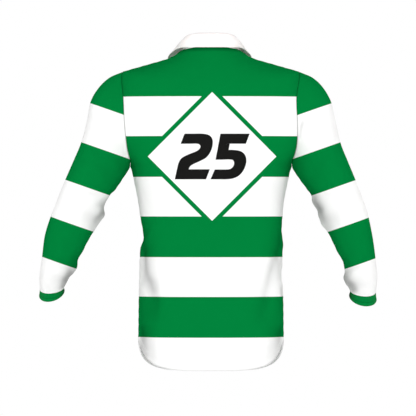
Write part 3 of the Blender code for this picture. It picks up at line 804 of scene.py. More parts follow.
def panel_surface(front):
    """The outer and inner points of a panel, its normals, and its places on the cloth as it was cut."""
    turn, level = panel_grid(front)
    points = body(turn, level)
    normals = body_normals(turn, level)
    along, up = run_length(points, 1), run_length(points, 0)
    left, right = along, along[:, -1:] - along
    relief = seam_relief(left, up) + seam_relief(right, up, RIGHT_SEAM_WAVE) + hem_relief(up)
    thickness = normals * JERSEY
    uv_up = up - up[ARMHOLE_ROW] + LEVELS[ARMPIT].side_z * MM
    uv = np.stack([along - along[:, BODY_COLUMNS // 2, None], uv_up], -1)
    armhole = ARMHOLE_ROW + np.arange(ARMHOLE_ROWS + 1)
    place = np.arange(ARMHOLE_ROWS + 1) * (1 if front else -1)
    inner = points - thickness
    points = points + normals * relief[..., None]
    for edge, beside, side in ((0, 1, -1), (-1, -2, 1)):
        across, offset = SEAMS[side]
        drawn_in = unit(points[:, beside] - points[:, edge]) * SEAM_GAP / 2
        drawn_in[armhole[1:-1]] = 0
        drawn_in[armhole] -= across[place] * SEAM_GAP / 2
        points[:, edge] += drawn_in
        inner[:, edge] += drawn_in
        inner[armhole, edge] = points[armhole, edge] - offset[place]
    return points, inner, normals, uv


def cut_cloth(replaced):
    """Hides the solid that a cloth piece replaces."""
    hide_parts(replaced)


back_jersey = hooped_jersey("printed hooped jersey", BODY_HOOPS, printed=True)
body_jersey = hooped_jersey("hooped jersey", BODY_HOOPS)
back_outer, back_inner, back_normals, back_uv = panel_surface(False)
back_shade = panel_shade(False, back_outer)
back = cloth_wall("back", back_outer, back_inner, back_uv, back_jersey, shade=back_shade)
back.data.materials.append(body_jersey)
inner_face = np.ones(len(back.data.polygons), np.int32)
inner_face[: (back_outer.shape[0] - 1) * (back_outer.shape[1] - 1)] = 0
back.data.polygons.foreach_set("material_index", inner_face)
back.data.update()
cut_cloth("back_panel")

# -----------------------------------------------------------------------------------------------------------
# Front panel. Cut from the same jersey as the back, a little longer at the tail, with the same turned hem. It
# meets the back at the side and shoulder seams.

front_outer, front_inner, front_normals, front_uv = panel_surface(True)
front_shade = panel_shade(True, front_outer)
front = cloth_wall("front", front_outer, front_inner, front_uv, body_jersey, shade=front_shade)
cut_cloth("front_panel")

# -----------------------------------------------------------------------------------------------------------
# Sleeves. Set in at the armhole and closed by one seam under the arm, in the same jersey with hoops that lean
# with the arm. They bunch softly inside the elbow and above the cuff.

# Rows without depth are only painted shade, on the insides of the arms, which face the body and get less
# light.
SLEEVE_FOLDS = {
    -1: (
        Fold("elbow dent", "both", -242, -352, -254, -351, -268, -349, 8, 8, 1.0, 0.0, 1.0, 0.3),
        Fold("elbow bulge", "both", -248, -372, -262, -372, -276, -370, 9, 9, -1.6, 0.0, 1.0, 0.3),
        Fold("below elbow dent", "both", -258, -393, -270, -391, -284, -386, 13, 13, 2.6, 0.0, 1.0, 0.3),
        Fold("forearm dent", "both", -304, -484, -318, -481, -334, -474, 12, 12, 4.8, 0.0, 1.0, 0.3),
        Fold("wrist dent", "both", -328, -526, -342, -523, -352, -518, 9, 12, 1.4, 0.0, 1.0, 0.3),
        Fold("inner elbow", "both", -238, -338, -257, -370, -286, -416, 12, 12, 0.0, 0.20, 0.5, 0.4),
        Fold("inner elbow edge", "both", -238, -330, -254, -358, -270, -392, 7, 7, 0.0, 0.30, 0.5, 0.3),
        Fold("elbow crease", "back", -246, -352, -260, -350, -276, -354, 7, 9, 2.4, 0.06, 1.0, 0.1),
        Fold("elbow, upper", "back", -262, -336, -284, -330, -312, -338, 12, 9, 3.4, 0.02, 0.3, 0.2),
        Fold("elbow hollow", "back", -262, -390, -284, -384, -312, -384, 18, 20, 4.0, 0.12, 0.6, 0.2),
        Fold("inner forearm", "both", -318, -488, -334, -512, -354, -544, 18, 18, 0.0, 0.24, 0.5, 0.8),
        Fold("inner wrist", "both", -330, -508, -340, -522, -352, -546, 9, 9, 0.0, 0.34, 0.3, 0.9),
        Fold("forearm", "back", -330, -506, -352, -500, -376, -490, 10, 14, 3.6, 0.04, 0.6, 0.2),
        Fold("above cuff", "back", -346, -534, -362, -531, -386, -532, 7, 9, 3.0, 0.04, 0.8, 0.2),
        Fold("underarm drag", "back", -226, -298, -258, -262, -284, -214, 12, 16, 3.0, 0.03, 0.5, 0.1),
        Fold("underarm", "both", -214, -284, -226, -300, -244, -328, 7, 7, 0.0, 0.06, 0.5, 0.6),
        Fold("elbow, upper front", "front", -258, -346, -284, -352, -318, -340, 14, 9, 6.0, 0.10, 0.6, 0.2),
        Fold("elbow, lower front", "front", -276, -404, -300, -392, -336, -386, 10, 13, 4.4, 0.06, 0.5, 0.2),
        Fold("forearm front", "front", -336, -518, -356, -508, -384, -510, 10, 12, 4.2, 0.06, 0.5, 0.2),
        Fold("shoulder drop front", "front", -222, -122, -246, -168, -256, -226, 16, 20, 2.8, 0.0, 0.2, 0.1),
    ),
    1: (
        Fold("elbow bulge", "both", 228, -342, 242, -342, 258, -342, 7, 7, -2.4, 0.0, 1.0, 0.3),
        Fold("elbow dent", "both", 242, -368, 256, -365, 270, -362, 10, 10, 3.2, 0.0, 1.0, 0.3),
        Fold("below elbow bulge", "both", 250, -402, 266, -400, 282, -396, 11, 11, -3.2, 0.0, 1.0, 0.3),
        Fold("forearm dent", "both", 298, -488, 314, -484, 330, -476, 12, 12, 2.6, 0.0, 1.0, 0.3),
        Fold("inner elbow", "both", 240, -330, 260, -376, 288, -424, 14, 14, 0.0, 0.20, 0.5, 0.4),
        Fold("inner elbow edge", "both", 232, -326, 244, -352, 262, -386, 7, 7, 0.0, 0.26, 0.5, 0.3),
        Fold("elbow crease", "back", 228, -338, 245, -348, 257, -376, 17, 13, 5.0, 0.34, 0.9, 0.4, 1.6, 2),
        Fold("elbow, upper", "back", 262, -330, 284, -332, 308, -326, 9, 12, 3.4, 0.02, 0.3, 0.2),
        Fold("elbow hollow", "back", 266, -394, 286, -388, 312, -386, 20, 18, 4.0, 0.11, 0.6, 0.2),
        Fold("inner forearm", "both", 308, -490, 320, -516, 334, -552, 19, 19, 0.0, 0.16, 0.4, 0.8),
        Fold("inner wrist", "both", 314, -516, 324, -532, 342, -552, 10, 10, 0.0, 0.36, 0.4, 1.0),
        Fold("forearm", "back", 316, -510, 338, -508, 362, -498, 12, 8, 4.0, 0.04, 0.6, 0.2),
        Fold("above cuff", "back", 328, -544, 348, -542, 374, -546, 9, 7, 3.0, 0.04, 0.8, 0.2),
        Fold("underarm drag", "back", 226, -298, 256, -262, 280, -214, 16, 12, 3.0, 0.03, 0.5, 0.1),
        Fold("underarm", "both", 214, -284, 226, -298, 240, -326, 7, 7, 0.0, 0.06, 0.5, 0.6),
        Fold("seam crease", "back", 209, -187, 213, -168, 220, -149, 4, 4, 2.4, 0.60, 1.0, 0.2),
        Fold("elbow, upper front", "front", 254, -348, 280, -342, 312, -348, 9, 13, 5.8, 0.10, 0.6, 0.2),
        Fold("elbow, lower front", "front", 272, -398, 296, -400, 330, -384, 13, 10, 4.2, 0.06, 0.5, 0.2),
        Fold("forearm front", "front", 324, -524, 346, -514, 372, -516, 12, 10, 4.4, 0.06, 0.5, 0.2),
        Fold("shoulder drop front", "front", 222, -118, 244, -166, 252, -220, 20, 16, 2.6, 0.0, 0.2, 0.1),
    ),
}
UNDERARM_WAVE, CUFF_SEAM_WAVE = 0.7, 1.0  # where in their waves these seams' puckers start, in radians
FADE_FROM_ARMHOLE = 1.5  # rings over which folds fade in below the armhole
FADE_TO_CUFF, FADE_PAST_CUFF = 0.6, 0.2  # and out again above the cuff, ending a little past its seam


def closed_grid(grid):
    return np.concatenate([grid, grid[:, :1]], axis=1)


def sleeve_surface(side):
    """Outer and inner points, normals, cloth places and painted shade of an arm with its cuff, closed
    underneath.
    """
    stations = arm_stations()
    points, normals = arm_tube(side, stations)
    middle_y = column(SLEEVES[side], "centre_y", stations)[:, None]
    fade = smooth_step((CUFF_TOP + FADE_PAST_CUFF - stations) / FADE_TO_CUFF)
    fade = (smooth_step(stations / FADE_FROM_ARMHOLE) * fade)[:, None]
    depth, shade = (part * fade for part in fold_relief(points, SLEEVE_FOLDS[side], middle_y))
    inner = points - normals * (JERSEY + depth)[..., None]
    points = points - normals * depth[..., None]
    points, normals, inner, shade = (closed_grid(grid) for grid in (points, normals, inner, shade))
    around, down = run_length(points, 1), run_length(points, 0)
    under = np.minimum(around, around[:, -1:] - around)
    to_cuff = down[SLEEVE_ROWS] - down
    relief = seam_relief(down, around) + seam_relief(under, down, UNDERARM_WAVE) * fade
    relief += np.where(to_cuff > 0, seam_relief(np.abs(to_cuff), around, CUFF_SEAM_WAVE), 0)
    points = points + normals * relief[..., None]
    across, offset = (np.concatenate([part, part[:1]]) for part in SEAMS[side])
    points[0] += across * SEAM_GAP / 2
    inner[0] = points[0] - offset
    uv = np.stack([around - around[:, -1:] / 2, -down], -1)
    return points, inner, normals, uv, 1 - (1 - shade) * (1 - bell(down, SEAM_SHADE, SEAM_SHADE_REACH))


SIDE_NAMES = {-1: "left", 1: "right"}
arms = {side: sleeve_surface(side) for side in SIDE_NAMES}
sleeve_jersey = hooped_jersey("hooped sleeve jersey", SLEEVE_HOOPS)
for side, name in SIDE_NAMES.items():
    points, inner, _, uv, shade = arms[side]
    gap = unit(points[SLEEVE_ROWS] - points[SLEEVE_ROWS + 1]) * SEAM_GAP / 2
    outer, inner, uv, shade = (grid[: SLEEVE_ROWS + 1].copy() for grid in (points, inner, uv, shade))
    outer[-1] += gap
    inner[-1] += gap
    sleeve = cloth_wall(name + "_sleeve", outer, inner, uv, sleeve_jersey, closed=True, shade=shade)
    cut_cloth("sleeve_" + name)

# -----------------------------------------------------------------------------------------------------------
# Cuffs. Each is a band of green rib, turned double and sewn to the sleeve's end, with one row of stitches
# that keeps its two layers together.

RIB = 2.4 * MM  # thickness, both layers
RIB_PITCH = 3.1 * MM
RIB_HEIGHT = 0.35 * MM
CUFF_COLUMNS = 480
CUFF_STITCH = 0.62  # how far down the cuff its stitches run, as a share
# painted shade along the row of stitches
CUFF_STITCH_SHADE = 0.3
CUFF_STITCH_SHADE_REACH = 0.8 * MM
CUFF_SHADE = 0.68  # painted shade on the side next to the body, which gets less light
CUFF_SHADE_TURN = 0.55
CUFF_CROWN = 1.2 * MM  # over which its ends round off
CUFF_OUTER_ROUND, CUFF_INNER_ROUND = 0.5, 0.35  # shares of its thickness that its faces draw in there
CUFF_STITCH_DIP = 0.35 * MM
CUFF_STITCH_DIP_REACH = 0.11  # as a share of the cuff's length
RIB_RELIEF = 0.3 * MM
GLOW_REACH = (3.0 * MM, 2.6 * MM, 2.5 * MM)  # how far red, green and blue light spread inside cloth


def cuff_surface(side):
    """The cuff's outer and inner points, normals, cloth places and shade. Its outer face carries ribs, each
    a cosine wave on the way round, and both its ends round off."""
    stations = np.linspace(CUFF_TOP, CUFF_TOP + 1, CUFF_ROWS + 1)
    angles = math.pi + np.linspace(0, 2 * math.pi, CUFF_COLUMNS + 1)
    at, angle = np.meshgrid(stations, angles, indexing="ij")
    points = arm_ring(side, at, angle)
    around = np.gradient(points, axis=1)
    around[:, [0, -1]] = (points[:, 1] - points[:, -2])[:, None] / 2
    normals = unit(np.cross(around, np.gradient(points, axis=0))) * side
    length, down = run_length(points, 1), run_length(points, 0)
    ribs = np.round(length[:, -1:] / RIB_PITCH)
    wave = 0.5 + 0.5 * np.cos(2 * math.pi * ribs[0] * length / length[:, -1:])
    to_end = np.minimum(down, down[-1] - down)
    near_end = np.clip(to_end / CUFF_CROWN, 0.02, 1)
    crown = np.sqrt(near_end * (2 - near_end))
    stitch_dip = bell(down / down[-1] - CUFF_STITCH, CUFF_STITCH_DIP, CUFF_STITCH_DIP_REACH)
    height = RIB_HEIGHT * (wave - 1) * crown - CUFF_OUTER_ROUND * RIB * (1 - crown) - stitch_dip
    outer = points + normals * height[..., None]
    inner = points - normals * (RIB - CUFF_INNER_ROUND * RIB * (1 - crown))[..., None]
    uv = np.stack([length - length[:, -1:] / 2, -down], -1)
    # painted shade on the side next to the body and along the stitches
    inside = bell(math.pi - np.abs(angle - 2 * math.pi), CUFF_SHADE, CUFF_SHADE_TURN)
    stitches = bell(down - CUFF_STITCH * down[-1], CUFF_STITCH_SHADE, CUFF_STITCH_SHADE_REACH)
    return outer, inner, normals, uv, 1 - (1 - inside) * (1 - stitches)


def plain_cloth(name, colour, relief, weave, amount=0.03, glow=0.0):
    """Cloth dyed one colour, with its weave's height from a node group. Glow is the share of light that
    spreads inside the cloth and comes through it."""
    material, tree, shader = new_material(name, sheen=CLOTH_SHEEN)
    shader.inputs["Subsurface Weight"].default_value = glow
    shader.inputs["Subsurface Radius"].default_value = GLOW_REACH
    dye = node(tree, "ShaderNodeRGB")
    dye.outputs[0].default_value = colour
    finish_cloth(tree, shader, dye.outputs[0], weave, relief, use_group(tree, MOTTLE, Amount=amount))
    return material


rib_knit = plain_cloth("green rib", GREEN, RIB_RELIEF, KNIT)
cuffs = {side: cuff_surface(side) for side in SIDE_NAMES}
for side, name in SIDE_NAMES.items():
    points, inner, _, uv, shade = cuffs[side]
    gap = unit(points[1] - points[0]) * SEAM_GAP / 2
    outer, inner = points.copy(), inner.copy()
    outer[0] += gap
    inner[0] += gap
    cuff = cloth_wall(name + "_cuff", outer, inner, uv, rib_knit, closed=True, shade=shade)
    cut_cloth("cuff_" + name)

# -----------------------------------------------------------------------------------------------------------
# Collar. White cotton twill: a stand that rises from the neck seam, and a double fall that rolls over it and
# lies on the shoulders, turned and edge-stitched, open at the front.

TWILL = 1.6 * MM  # thickness, both layers
TWILL_RELIEF = 0.25 * MM
TWILL_SLOPE = -0.58  # how far a ridge runs aside for each step up
RIDGE_RATE, WEFT_RATE = 7.3, 16.0  # radians of each wave over one pitch
COLLAR_OPENING = math.radians(4)
COLLAR_LIFT = 1.0 * MM  # of its foot above the neck seam
COLLAR_SHIFT = -3.0 * MM  # how far to -X it sits at its sides
ROLL_RADIUS = 3.0 * MM
ROLL_CLEARANCE = 1.5 * MM
FALL_BULGE = 2.5 * MM
COLLAR_COLUMNS = 220
STAND_ROWS = 18
ROLL_ROWS = 12
FALL_ROWS = 44
EDGE_STITCH = 5 * MM  # from the fall's edge to its stitches
TWILL_WHITE = (0.88, 0.838, 0.828, 1)
TWILL_MOTTLE = 0.02  # how uneven its white is
TWILL_GLOW = 0.5  # share of the light that spreads inside the cloth
EDGE_GROOVE = 0.3 * MM
EDGE_GROOVE_REACH = 1.6 * MM
EDGE_ROUND, EDGE_ROUND_REACH = 0.3 * TWILL, 0.7 * MM
ROLL_SHADE = 0.28  # painted shade along its pressed fold, which turns away from the light
ROLL_SHADE_REACH = 3.2 * MM
COLLAR_SIDE_SHADE = 0.22  # painted shade where it bends round the sides of the neck and turns away

# A row for each step from centre back to centre front: where the collar folds, and its free edge.
CollarRow = namedtuple("CollarRow", "fold_x fold_y fold_z edge_x edge_y edge_z")
COLLAR = (
    CollarRow(0, -66, 60, 0, -71, 26),
    CollarRow(36, -59, 59, 44, -65, 26),
    CollarRow(58, -34, 53, 72, -41, 25),
    CollarRow(64, 0, 39, 88, -2, 17),
    CollarRow(59, 33, 20, 101, 39, 0),
    CollarRow(38, 59, -6, 88, 80, -45),
    CollarRow(3, 73, -28, 43, 105, -94),
)


def twill_group():
    """Twill: ridges that climb to the right at 60 degrees, each crossed by finer weft threads."""
    tree, maths, given, out = effect_group("twill lines", {"Pitch": 1.0 * MM}, "Height")
    place = cloth_place(tree)
    aside = maths("MULTIPLY_ADD", place[1], TWILL_SLOPE, place[0])
    ridge, weft = (
        maths("SINE", maths("DIVIDE", maths("MULTIPLY", way, rate), given["Pitch"]))
        for way, rate in ((aside, RIDGE_RATE), (place[1], WEFT_RATE))
    )
    ridge = maths("MULTIPLY_ADD", ridge, 0.4, 0.5)
    tree.links.new(out["Height"], maths("MULTIPLY_ADD", weft, 0.1, ridge))
    return tree


def collar_line(prefix, share):
    """A line of the collar's table, from one front end (share -1) round the back to the other (share 1)."""
    half = np.array([[getattr(row, f"{prefix}_{axis}") for axis in "xyz"] for row in COLLAR])
    whole = np.concatenate([half[:0:-1] * [-1, 1, 1], half])
    at = (share + 1) * (len(COLLAR) - 1)
    points = np.stack([through(whole[:, axis], at) for axis in range(3)], -1) * MM
    points[:, 0] += COLLAR_SHIFT * 4 * share**2 * (1 - share**2)
    return points


def grid_normals(points):
    return unit(np.cross(np.gradient(points, axis=1), np.gradient(points, axis=0)))


def cloth_places(points):
    along = run_length(points, 1)
    return np.stack([along - along[:, along.shape[1] // 2, None], run_length(points, 0)], -1)


collar_share = np.linspace(-1, 1, COLLAR_COLUMNS + 1)
collar_seam = body(collar_share * (math.pi - COLLAR_OPENING), NECK)
fold_line, edge_line = collar_line("fold", collar_share), collar_line("edge", collar_share)
UP = np.array([0, 0, 1.0])
collar_out = unit(edge_line * [1, 1, 0])


def stand_surface():
    """The stand's middle: straight from the neck seam up to just under the fold."""
    rise = np.linspace(0, 1, STAND_ROWS + 1)[:, None, None]
    foot = collar_seam + UP * COLLAR_LIFT
    head = fold_line - UP * (ROLL_RADIUS + ROLL_CLEARANCE) - collar_out * ROLL_RADIUS
    return foot + (head - foot) * rise


def fall_surface():
    """The fall's middle: half a turn over the fold, then a bulging arc down to the free edge."""
    bend = np.linspace(0, math.pi, ROLL_ROWS + 1)[:, None, None]
    roll = fold_line - collar_out * ROLL_RADIUS * np.cos(bend) + UP * ROLL_RADIUS * (np.sin(bend) - 1)
    hang = np.linspace(0, 1, FALL_ROWS + 1)[1:, None, None]
    middle = (roll[-1] + edge_line) / 2 + (collar_out + UP) * FALL_BULGE * 2
    fall = roll[-1] * (1 - hang) ** 2 + middle * 2 * hang * (1 - hang) + edge_line * hang**2
    return np.concatenate([roll, fall])


collar_twill = plain_cloth(
    "white twill", TWILL_WHITE, TWILL_RELIEF, twill_group(), amount=TWILL_MOTTLE, glow=TWILL_GLOW
)
stand_middle = stand_surface()
stand_half = grid_normals(stand_middle) * TWILL / 2
stand_uv = cloth_places(stand_middle)
stand_outer, stand_inner = stand_middle + stand_half, stand_middle - stand_half
stand = cloth_wall("collar_band", stand_outer, stand_inner, stand_uv, collar_twill)
cut_cloth("collar_stand")

fall_middle = fall_surface()
fall_out = -grid_normals(fall_middle)
fall_along, fall_down = run_length(fall_middle, 1), run_length(fall_middle, 0)
fall_edge = np.minimum(np.minimum(fall_along, fall_along[:, -1:] - fall_along), fall_down[-1] - fall_down)
fall_thinned = bell(fall_edge - EDGE_STITCH, EDGE_GROOVE, EDGE_GROOVE_REACH)
fall_thinned += bell(fall_edge, EDGE_ROUND, EDGE_ROUND_REACH)
fall_half = fall_out * (TWILL / 2 - fall_thinned)[..., None]
fall_outer, fall_inner = fall_middle + fall_half, fall_middle - fall_half
# painted shade along the fold and at the sides, where the fall turns away from the light
fall_side_shade = COLLAR_SIDE_SHADE * collar_out[:, 0] ** 6
fall_roll_shade = bell(fall_down - fall_down[ROLL_ROWS // 2], ROLL_SHADE, ROLL_SHADE_REACH)
fall_shade = 1 - (1 - fall_roll_shade) * (1 - fall_side_shade)
fall_uv = cloth_places(fall_middle)
fall = cloth_wall("collar_leaf", fall_outer, fall_inner, fall_uv, collar_twill, shade=fall_shade)
cut_cloth("collar_fall")

# -----------------------------------------------------------------------------------------------------------
# Placket. A strip of white twill sewn on the front from the neck down, edge-stitched, with a crossed box at
# its foot and a worked buttonhole under each button.

PLACKET_WIDTH = 32 * MM
PLACKET_DROP = 3 * MM  # of its top below the neck seam
PLACKET_END = -232 * MM
PLACKET_GROOVE = 0.3 * MM
PLACKET_GROOVE_REACH = 1.3 * MM
LEVEL_STEPS = 1401  # places at which a middle line's height is taken
PLACKET_ROWS = 120
PLACKET_COLUMNS = 24
BUTTON_HEIGHTS = (-78, -132, -186)
PLACKET_STITCH = 2.4 * MM  # from its edges to its stitches
PLACKET_BOX = 30 * MM  # height of the crossed box at its foot


def level_at(middle, height):
    """The level at which a middle line of the body, back_z or front_z, has this height."""
    levels = np.linspace(0, NECK, LEVEL_STEPS)
    return np.interp(height, column(LEVELS, middle, levels), levels)


def on_front(x, height, lift=0.0):
    """A place on the front near its middle line, and its normal, lift above the cloth."""
    level = level_at("front_z", height)
    turn = math.pi - np.arcsin(x / column(LEVELS, "side_x", level))
    normals = body_normals(turn, level)
    return body(turn, level) + normals * lift, normals


placket_top = column(LEVELS, "front_z", np.array(float(NECK))) - PLACKET_DROP
placket_x = np.linspace(-0.5, 0.5, PLACKET_COLUMNS + 1)[None, :] * PLACKET_WIDTH
placket_z = np.linspace(placket_top, PLACKET_END, PLACKET_ROWS + 1)[:, None]
placket_x, placket_z = np.broadcast_arrays(placket_x, placket_z)
placket_under, placket_normals = on_front(placket_x, placket_z, SEAM_GAP)
placket_edge = np.minimum(PLACKET_WIDTH / 2 - np.abs(placket_x), placket_z - PLACKET_END)
placket_dip = bell(placket_edge - PLACKET_STITCH, PLACKET_GROOVE, PLACKET_GROOVE_REACH)
placket_over = placket_under + placket_normals * (TWILL - placket_dip)[..., None]
placket = cloth_wall("placket_strip", placket_over, placket_under, cloth_places(placket_under), collar_twill)
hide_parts("placket")

# -----------------------------------------------------------------------------------------------------------
# Buttons. Three soft white rubber buttons, each with a raised rim, a dished middle and four holes, sewn to
# the placket with thread.

BUTTON_LIFT = 0.7 * MM  # the thread's shank under each
BUTTON_SPOKES = 72
HOLE_CIRCLE = 1.9 * MM  # from the middle to each hole
HOLE_RADIUS = 0.75 * MM
HOLE_DEPTH = 1.6 * MM
HOLE_WALL_FROM, HOLE_WALL_WIDTH = 0.6, 0.8  # where its wall starts and how wide it is, in hole radii
RUBBER_WHITE = (0.8, 0.79, 0.77, 1)

# The button's profile from its middle round its rim to the middle of its back.
ButtonRow = namedtuple("ButtonRow", "radius height")
BUTTON_PROFILE = (
    ButtonRow(0.0, 2.15), ButtonRow(0.6, 2.15), ButtonRow(1.2, 2.15), ButtonRow(1.9, 2.15),
    ButtonRow(2.6, 2.15), ButtonRow(3.3, 2.2), ButtonRow(4.0, 2.4), ButtonRow(4.6, 2.8), ButtonRow(5.3, 3.0),
    ButtonRow(6.0, 2.85), ButtonRow(6.4, 2.3), ButtonRow(6.5, 1.5), ButtonRow(6.4, 0.7), ButtonRow(6.0, 0.15),
    ButtonRow(5.0, 0.0), ButtonRow(2.5, 0.0), ButtonRow(0.0, 0.0),
)
HOLES_END = 5  # row of the profile inside which the holes are pressed in
BUTTON_RINGS = 64


def button_frame(height, lift=0.0):
    """A place on the placket's middle line, lift above a button's back, and its ways right, up and out."""
    turn, level = np.array(math.pi), level_at("front_z", np.array(height * MM))
    out = body_normals(turn, level)
    right = unit(np.cross(UP, out))
    return body(turn, level) + out * (SEAM_GAP + TWILL + BUTTON_LIFT + lift), right, np.cross(out, right), out


def button_mesh(name, height, material):
    """A profile carried round a circle, with four smooth pits in its dished face as thread holes."""
    foot, right, up, out = button_frame(height)
    at = np.linspace(0, len(BUTTON_PROFILE) - 1, BUTTON_RINGS)[1:-1, None]
    around = np.linspace(0, 2 * math.pi, BUTTON_SPOKES + 1)[None, :-1]
    radius = np.abs(column(BUTTON_PROFILE, "radius", at))
    rise = column(BUTTON_PROFILE, "height", at)
    x, y = radius * np.cos(around), radius * np.sin(around)
    aside = HOLE_CIRCLE / math.sqrt(2)
    reach = np.hypot(np.abs(x) - aside, np.abs(y) - aside)
    pit = HOLE_DEPTH * (1 - smooth_step((reach / HOLE_RADIUS - HOLE_WALL_FROM) / HOLE_WALL_WIDTH))
    rise = rise - np.where(at < HOLES_END, pit, 0)
    ends = [[0, 0, BUTTON_PROFILE[0].height * MM], [0, 0, 0]]
    local = np.concatenate([np.stack([x, y, rise + 0 * x], -1).reshape(-1, 3), ends])
    points = foot + local @ np.stack([right, up, out])
    cell = np.arange(x.size).reshape(x.shape)
    cell = np.hstack([cell, cell[:, :1]])
    quads = grid_quads(cell)[:, [0, 3, 2, 1]]
    top = np.stack([np.full(BUTTON_SPOKES, x.size), cell[0, :-1], cell[0, 1:]], -1)
    bottom = np.stack([np.full(BUTTON_SPOKES, x.size + 1), cell[-1, 1:], cell[-1, :-1]], -1)
    return mesh_piece(name, points, [quads, top, bottom], material)


def dye_shader(tree, shader, colour, **uneven):
    """Gives a shader one colour, a little uneven, and returns the mottle that makes it so."""
    mottle = use_group(tree, MOTTLE, **uneven)
    dye = node(tree, "ShaderNodeRGB")
    dye.outputs[0].default_value = colour
    tree.links.new(shader.inputs["Base Color"], tint(tree, dye.outputs[0], mottle["Value"]))
    return mottle


def rubber_material():
    material, tree, shader = new_material("white rubber", roughness=0.42, specular=0.4)
    mottle = dye_shader(tree, shader, RUBBER_WHITE, Patch=6 * MM, Fibre=0.4 * MM, Amount=0.03)
    add_relief(tree, shader, mottle["Fuzz"], 0.05 * MM, 0.4)
    return material


rubber = rubber_material()
for number, height in enumerate(BUTTON_HEIGHTS, 1):
    button = button_mesh(f"rubber_button_{number}", height, rubber)
    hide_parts(f"button_{number}")

# -----------------------------------------------------------------------------------------------------------
# Numerals. Plain slanted figures in black transfer print, a film pressed on the diamond, its edges rounded
# over. Each stroke is a ribbon between two edges, given by rungs from its start to its end.

FILM = 0.25 * MM
FILM_SINK = 0.2 * MM  # how far its back lies inside the cloth
FILM_ROUNDING = 0.4 * MM
FILM_SLANT = 0.219
FIGURE_FOOT = -289.9 * MM
TWO_LEFT, FIVE_LEFT = -86.4 * MM, 0.8 * MM
SEEK_STEPS = 8  # steps towards a place on the back, each from the slopes over SEEK_REACH
SEEK_REACH = 1e-4
STROKE_STEPS = 60
STROKE_WIDTH_STEPS = 12
INK = (0.0044, 0.0044, 0.0039, 1)

Rung = namedtuple("Rung", "outer_x outer_z inner_x inner_z")
TWO = (
    (
        Rung(-0.5, 108.7, -4.5, 84.6),
        Rung(22, 108.7, 18, 84.6),
        Rung(41, 108.7, 34, 84.9),
        Rung(58, 105.5, 41, 82.5),
        Rung(68.5, 96, 44, 78.5),
        Rung(72.3, 82, 43.6, 74),
        Rung(71, 66, 41, 70),
        Rung(64, 52, 34, 65.5),
        Rung(50, 43, 17, 58),
        Rung(37, 36.5, 5, 50),
        Rung(30, 31, 0.5, 39),
        Rung(28, 23.8, 0, 23.8),
    ),
    (Rung(0, 23.8, 0, 0), Rung(38, 23.8, 37, 0), Rung(78.3, 23.8, 74.6, 0)),
)
FIVE = (
    (Rung(-2.1, 108.7, -1.5, 84.9), Rung(34, 108.7, 32, 84.7), Rung(67.5, 108.7, 63.6, 84.6)),
    (Rung(-1.5, 84.9, 25.4, 84.7), Rung(-1.2, 77.5, 25.6, 77.5), Rung(-0.8, 70, 25.8, 70)),
    (
        Rung(-0.8, 70, -0.4, 46.6),
        Rung(18, 70, 18, 46.8),
        Rung(37, 70, 31, 47.2),
        Rung(55, 67, 40, 46.2),
        Rung(68, 57.5, 44.5, 42),
        Rung(74, 43, 46, 36),
        Rung(73.3, 26, 44.7, 29.7),
        Rung(66, 11, 39.5, 24.6),
        Rung(53, 2.6, 31, 23.4),
        Rung(36, 0, 22, 23.4),
        Rung(18, 0, 12, 23.4),
        Rung(-2.1, 0, 3.0, 23.2),
    ),
)


def on_back(x, z):
    """Turn and level of the places on the back that are seen at x and z, by stepping towards them."""
    level = level_at("back_z", z)
    turn = np.arcsin(np.clip(x / column(LEVELS, "side_x", level), -0.95, 0.95))
    for _ in range(SEEK_STEPS):
        here = plain_body(turn, level)
        sideways = plain_body(turn + SEEK_REACH, level)[..., 0] - here[..., 0]
        upwards = plain_body(turn, level + SEEK_REACH)[..., 2] - here[..., 2]
        turn = turn + (x - here[..., 0]) / sideways * SEEK_REACH
        level = level + (z - here[..., 2]) / upwards * SEEK_REACH
    return turn, level


def stroke_film(rungs, left):
    """Outer and inner points and cloth places of one stroke, its face rounded down to the cloth all along."""
    at = np.linspace(0, len(rungs) - 1, STROKE_STEPS + 1)[:, None]
    share = np.linspace(0, 1, STROKE_WIDTH_STEPS + 1)[None, :]
    x, z = (
        column(rungs, "outer_" + axis, at) * (1 - share) + column(rungs, "inner_" + axis, at) * share
        for axis in "xz"
    )
    turn, level = on_back(left + x + z * FILM_SLANT, FIGURE_FOOT + z)
    points, normals = body(turn, level), body_normals(turn, level)
    across = run_length(points, 1)
    edge = np.minimum(across, across[:, -1:] - across)
    rounding = np.sqrt(np.clip(edge / FILM_ROUNDING, 0.1, 1))
    return points + normals * (FILM * rounding)[..., None], points - normals * FILM_SINK, np.stack([x, z], -1)


def ink_material():
    material, tree, shader = new_material("black transfer film", roughness=0.6, specular=0.06)
    dye_shader(tree, shader, INK, Patch=20 * MM, Amount=0.08)
    add_relief(tree, shader, use_group(tree, KNIT)["Height"], 0.12 * MM, 0.4)
    return material


ink = ink_material()
for name, strokes, left in (("numeral_two", TWO, TWO_LEFT), ("numeral_five", FIVE, FIVE_LEFT)):
    for number, rungs in enumerate(strokes, 1):
        stroke = cloth_wall(f"{name}_stroke_{number}", *stroke_film(rungs, left), ink)

# -----------------------------------------------------------------------------------------------------------
# Stitching. Lockstitch in thread of the cloth's own colour: two rows beside each armhole and shoulder seam
# and round the hem, one at each cuff seam, cuff, collar edge and placket edge, and the crossed box.

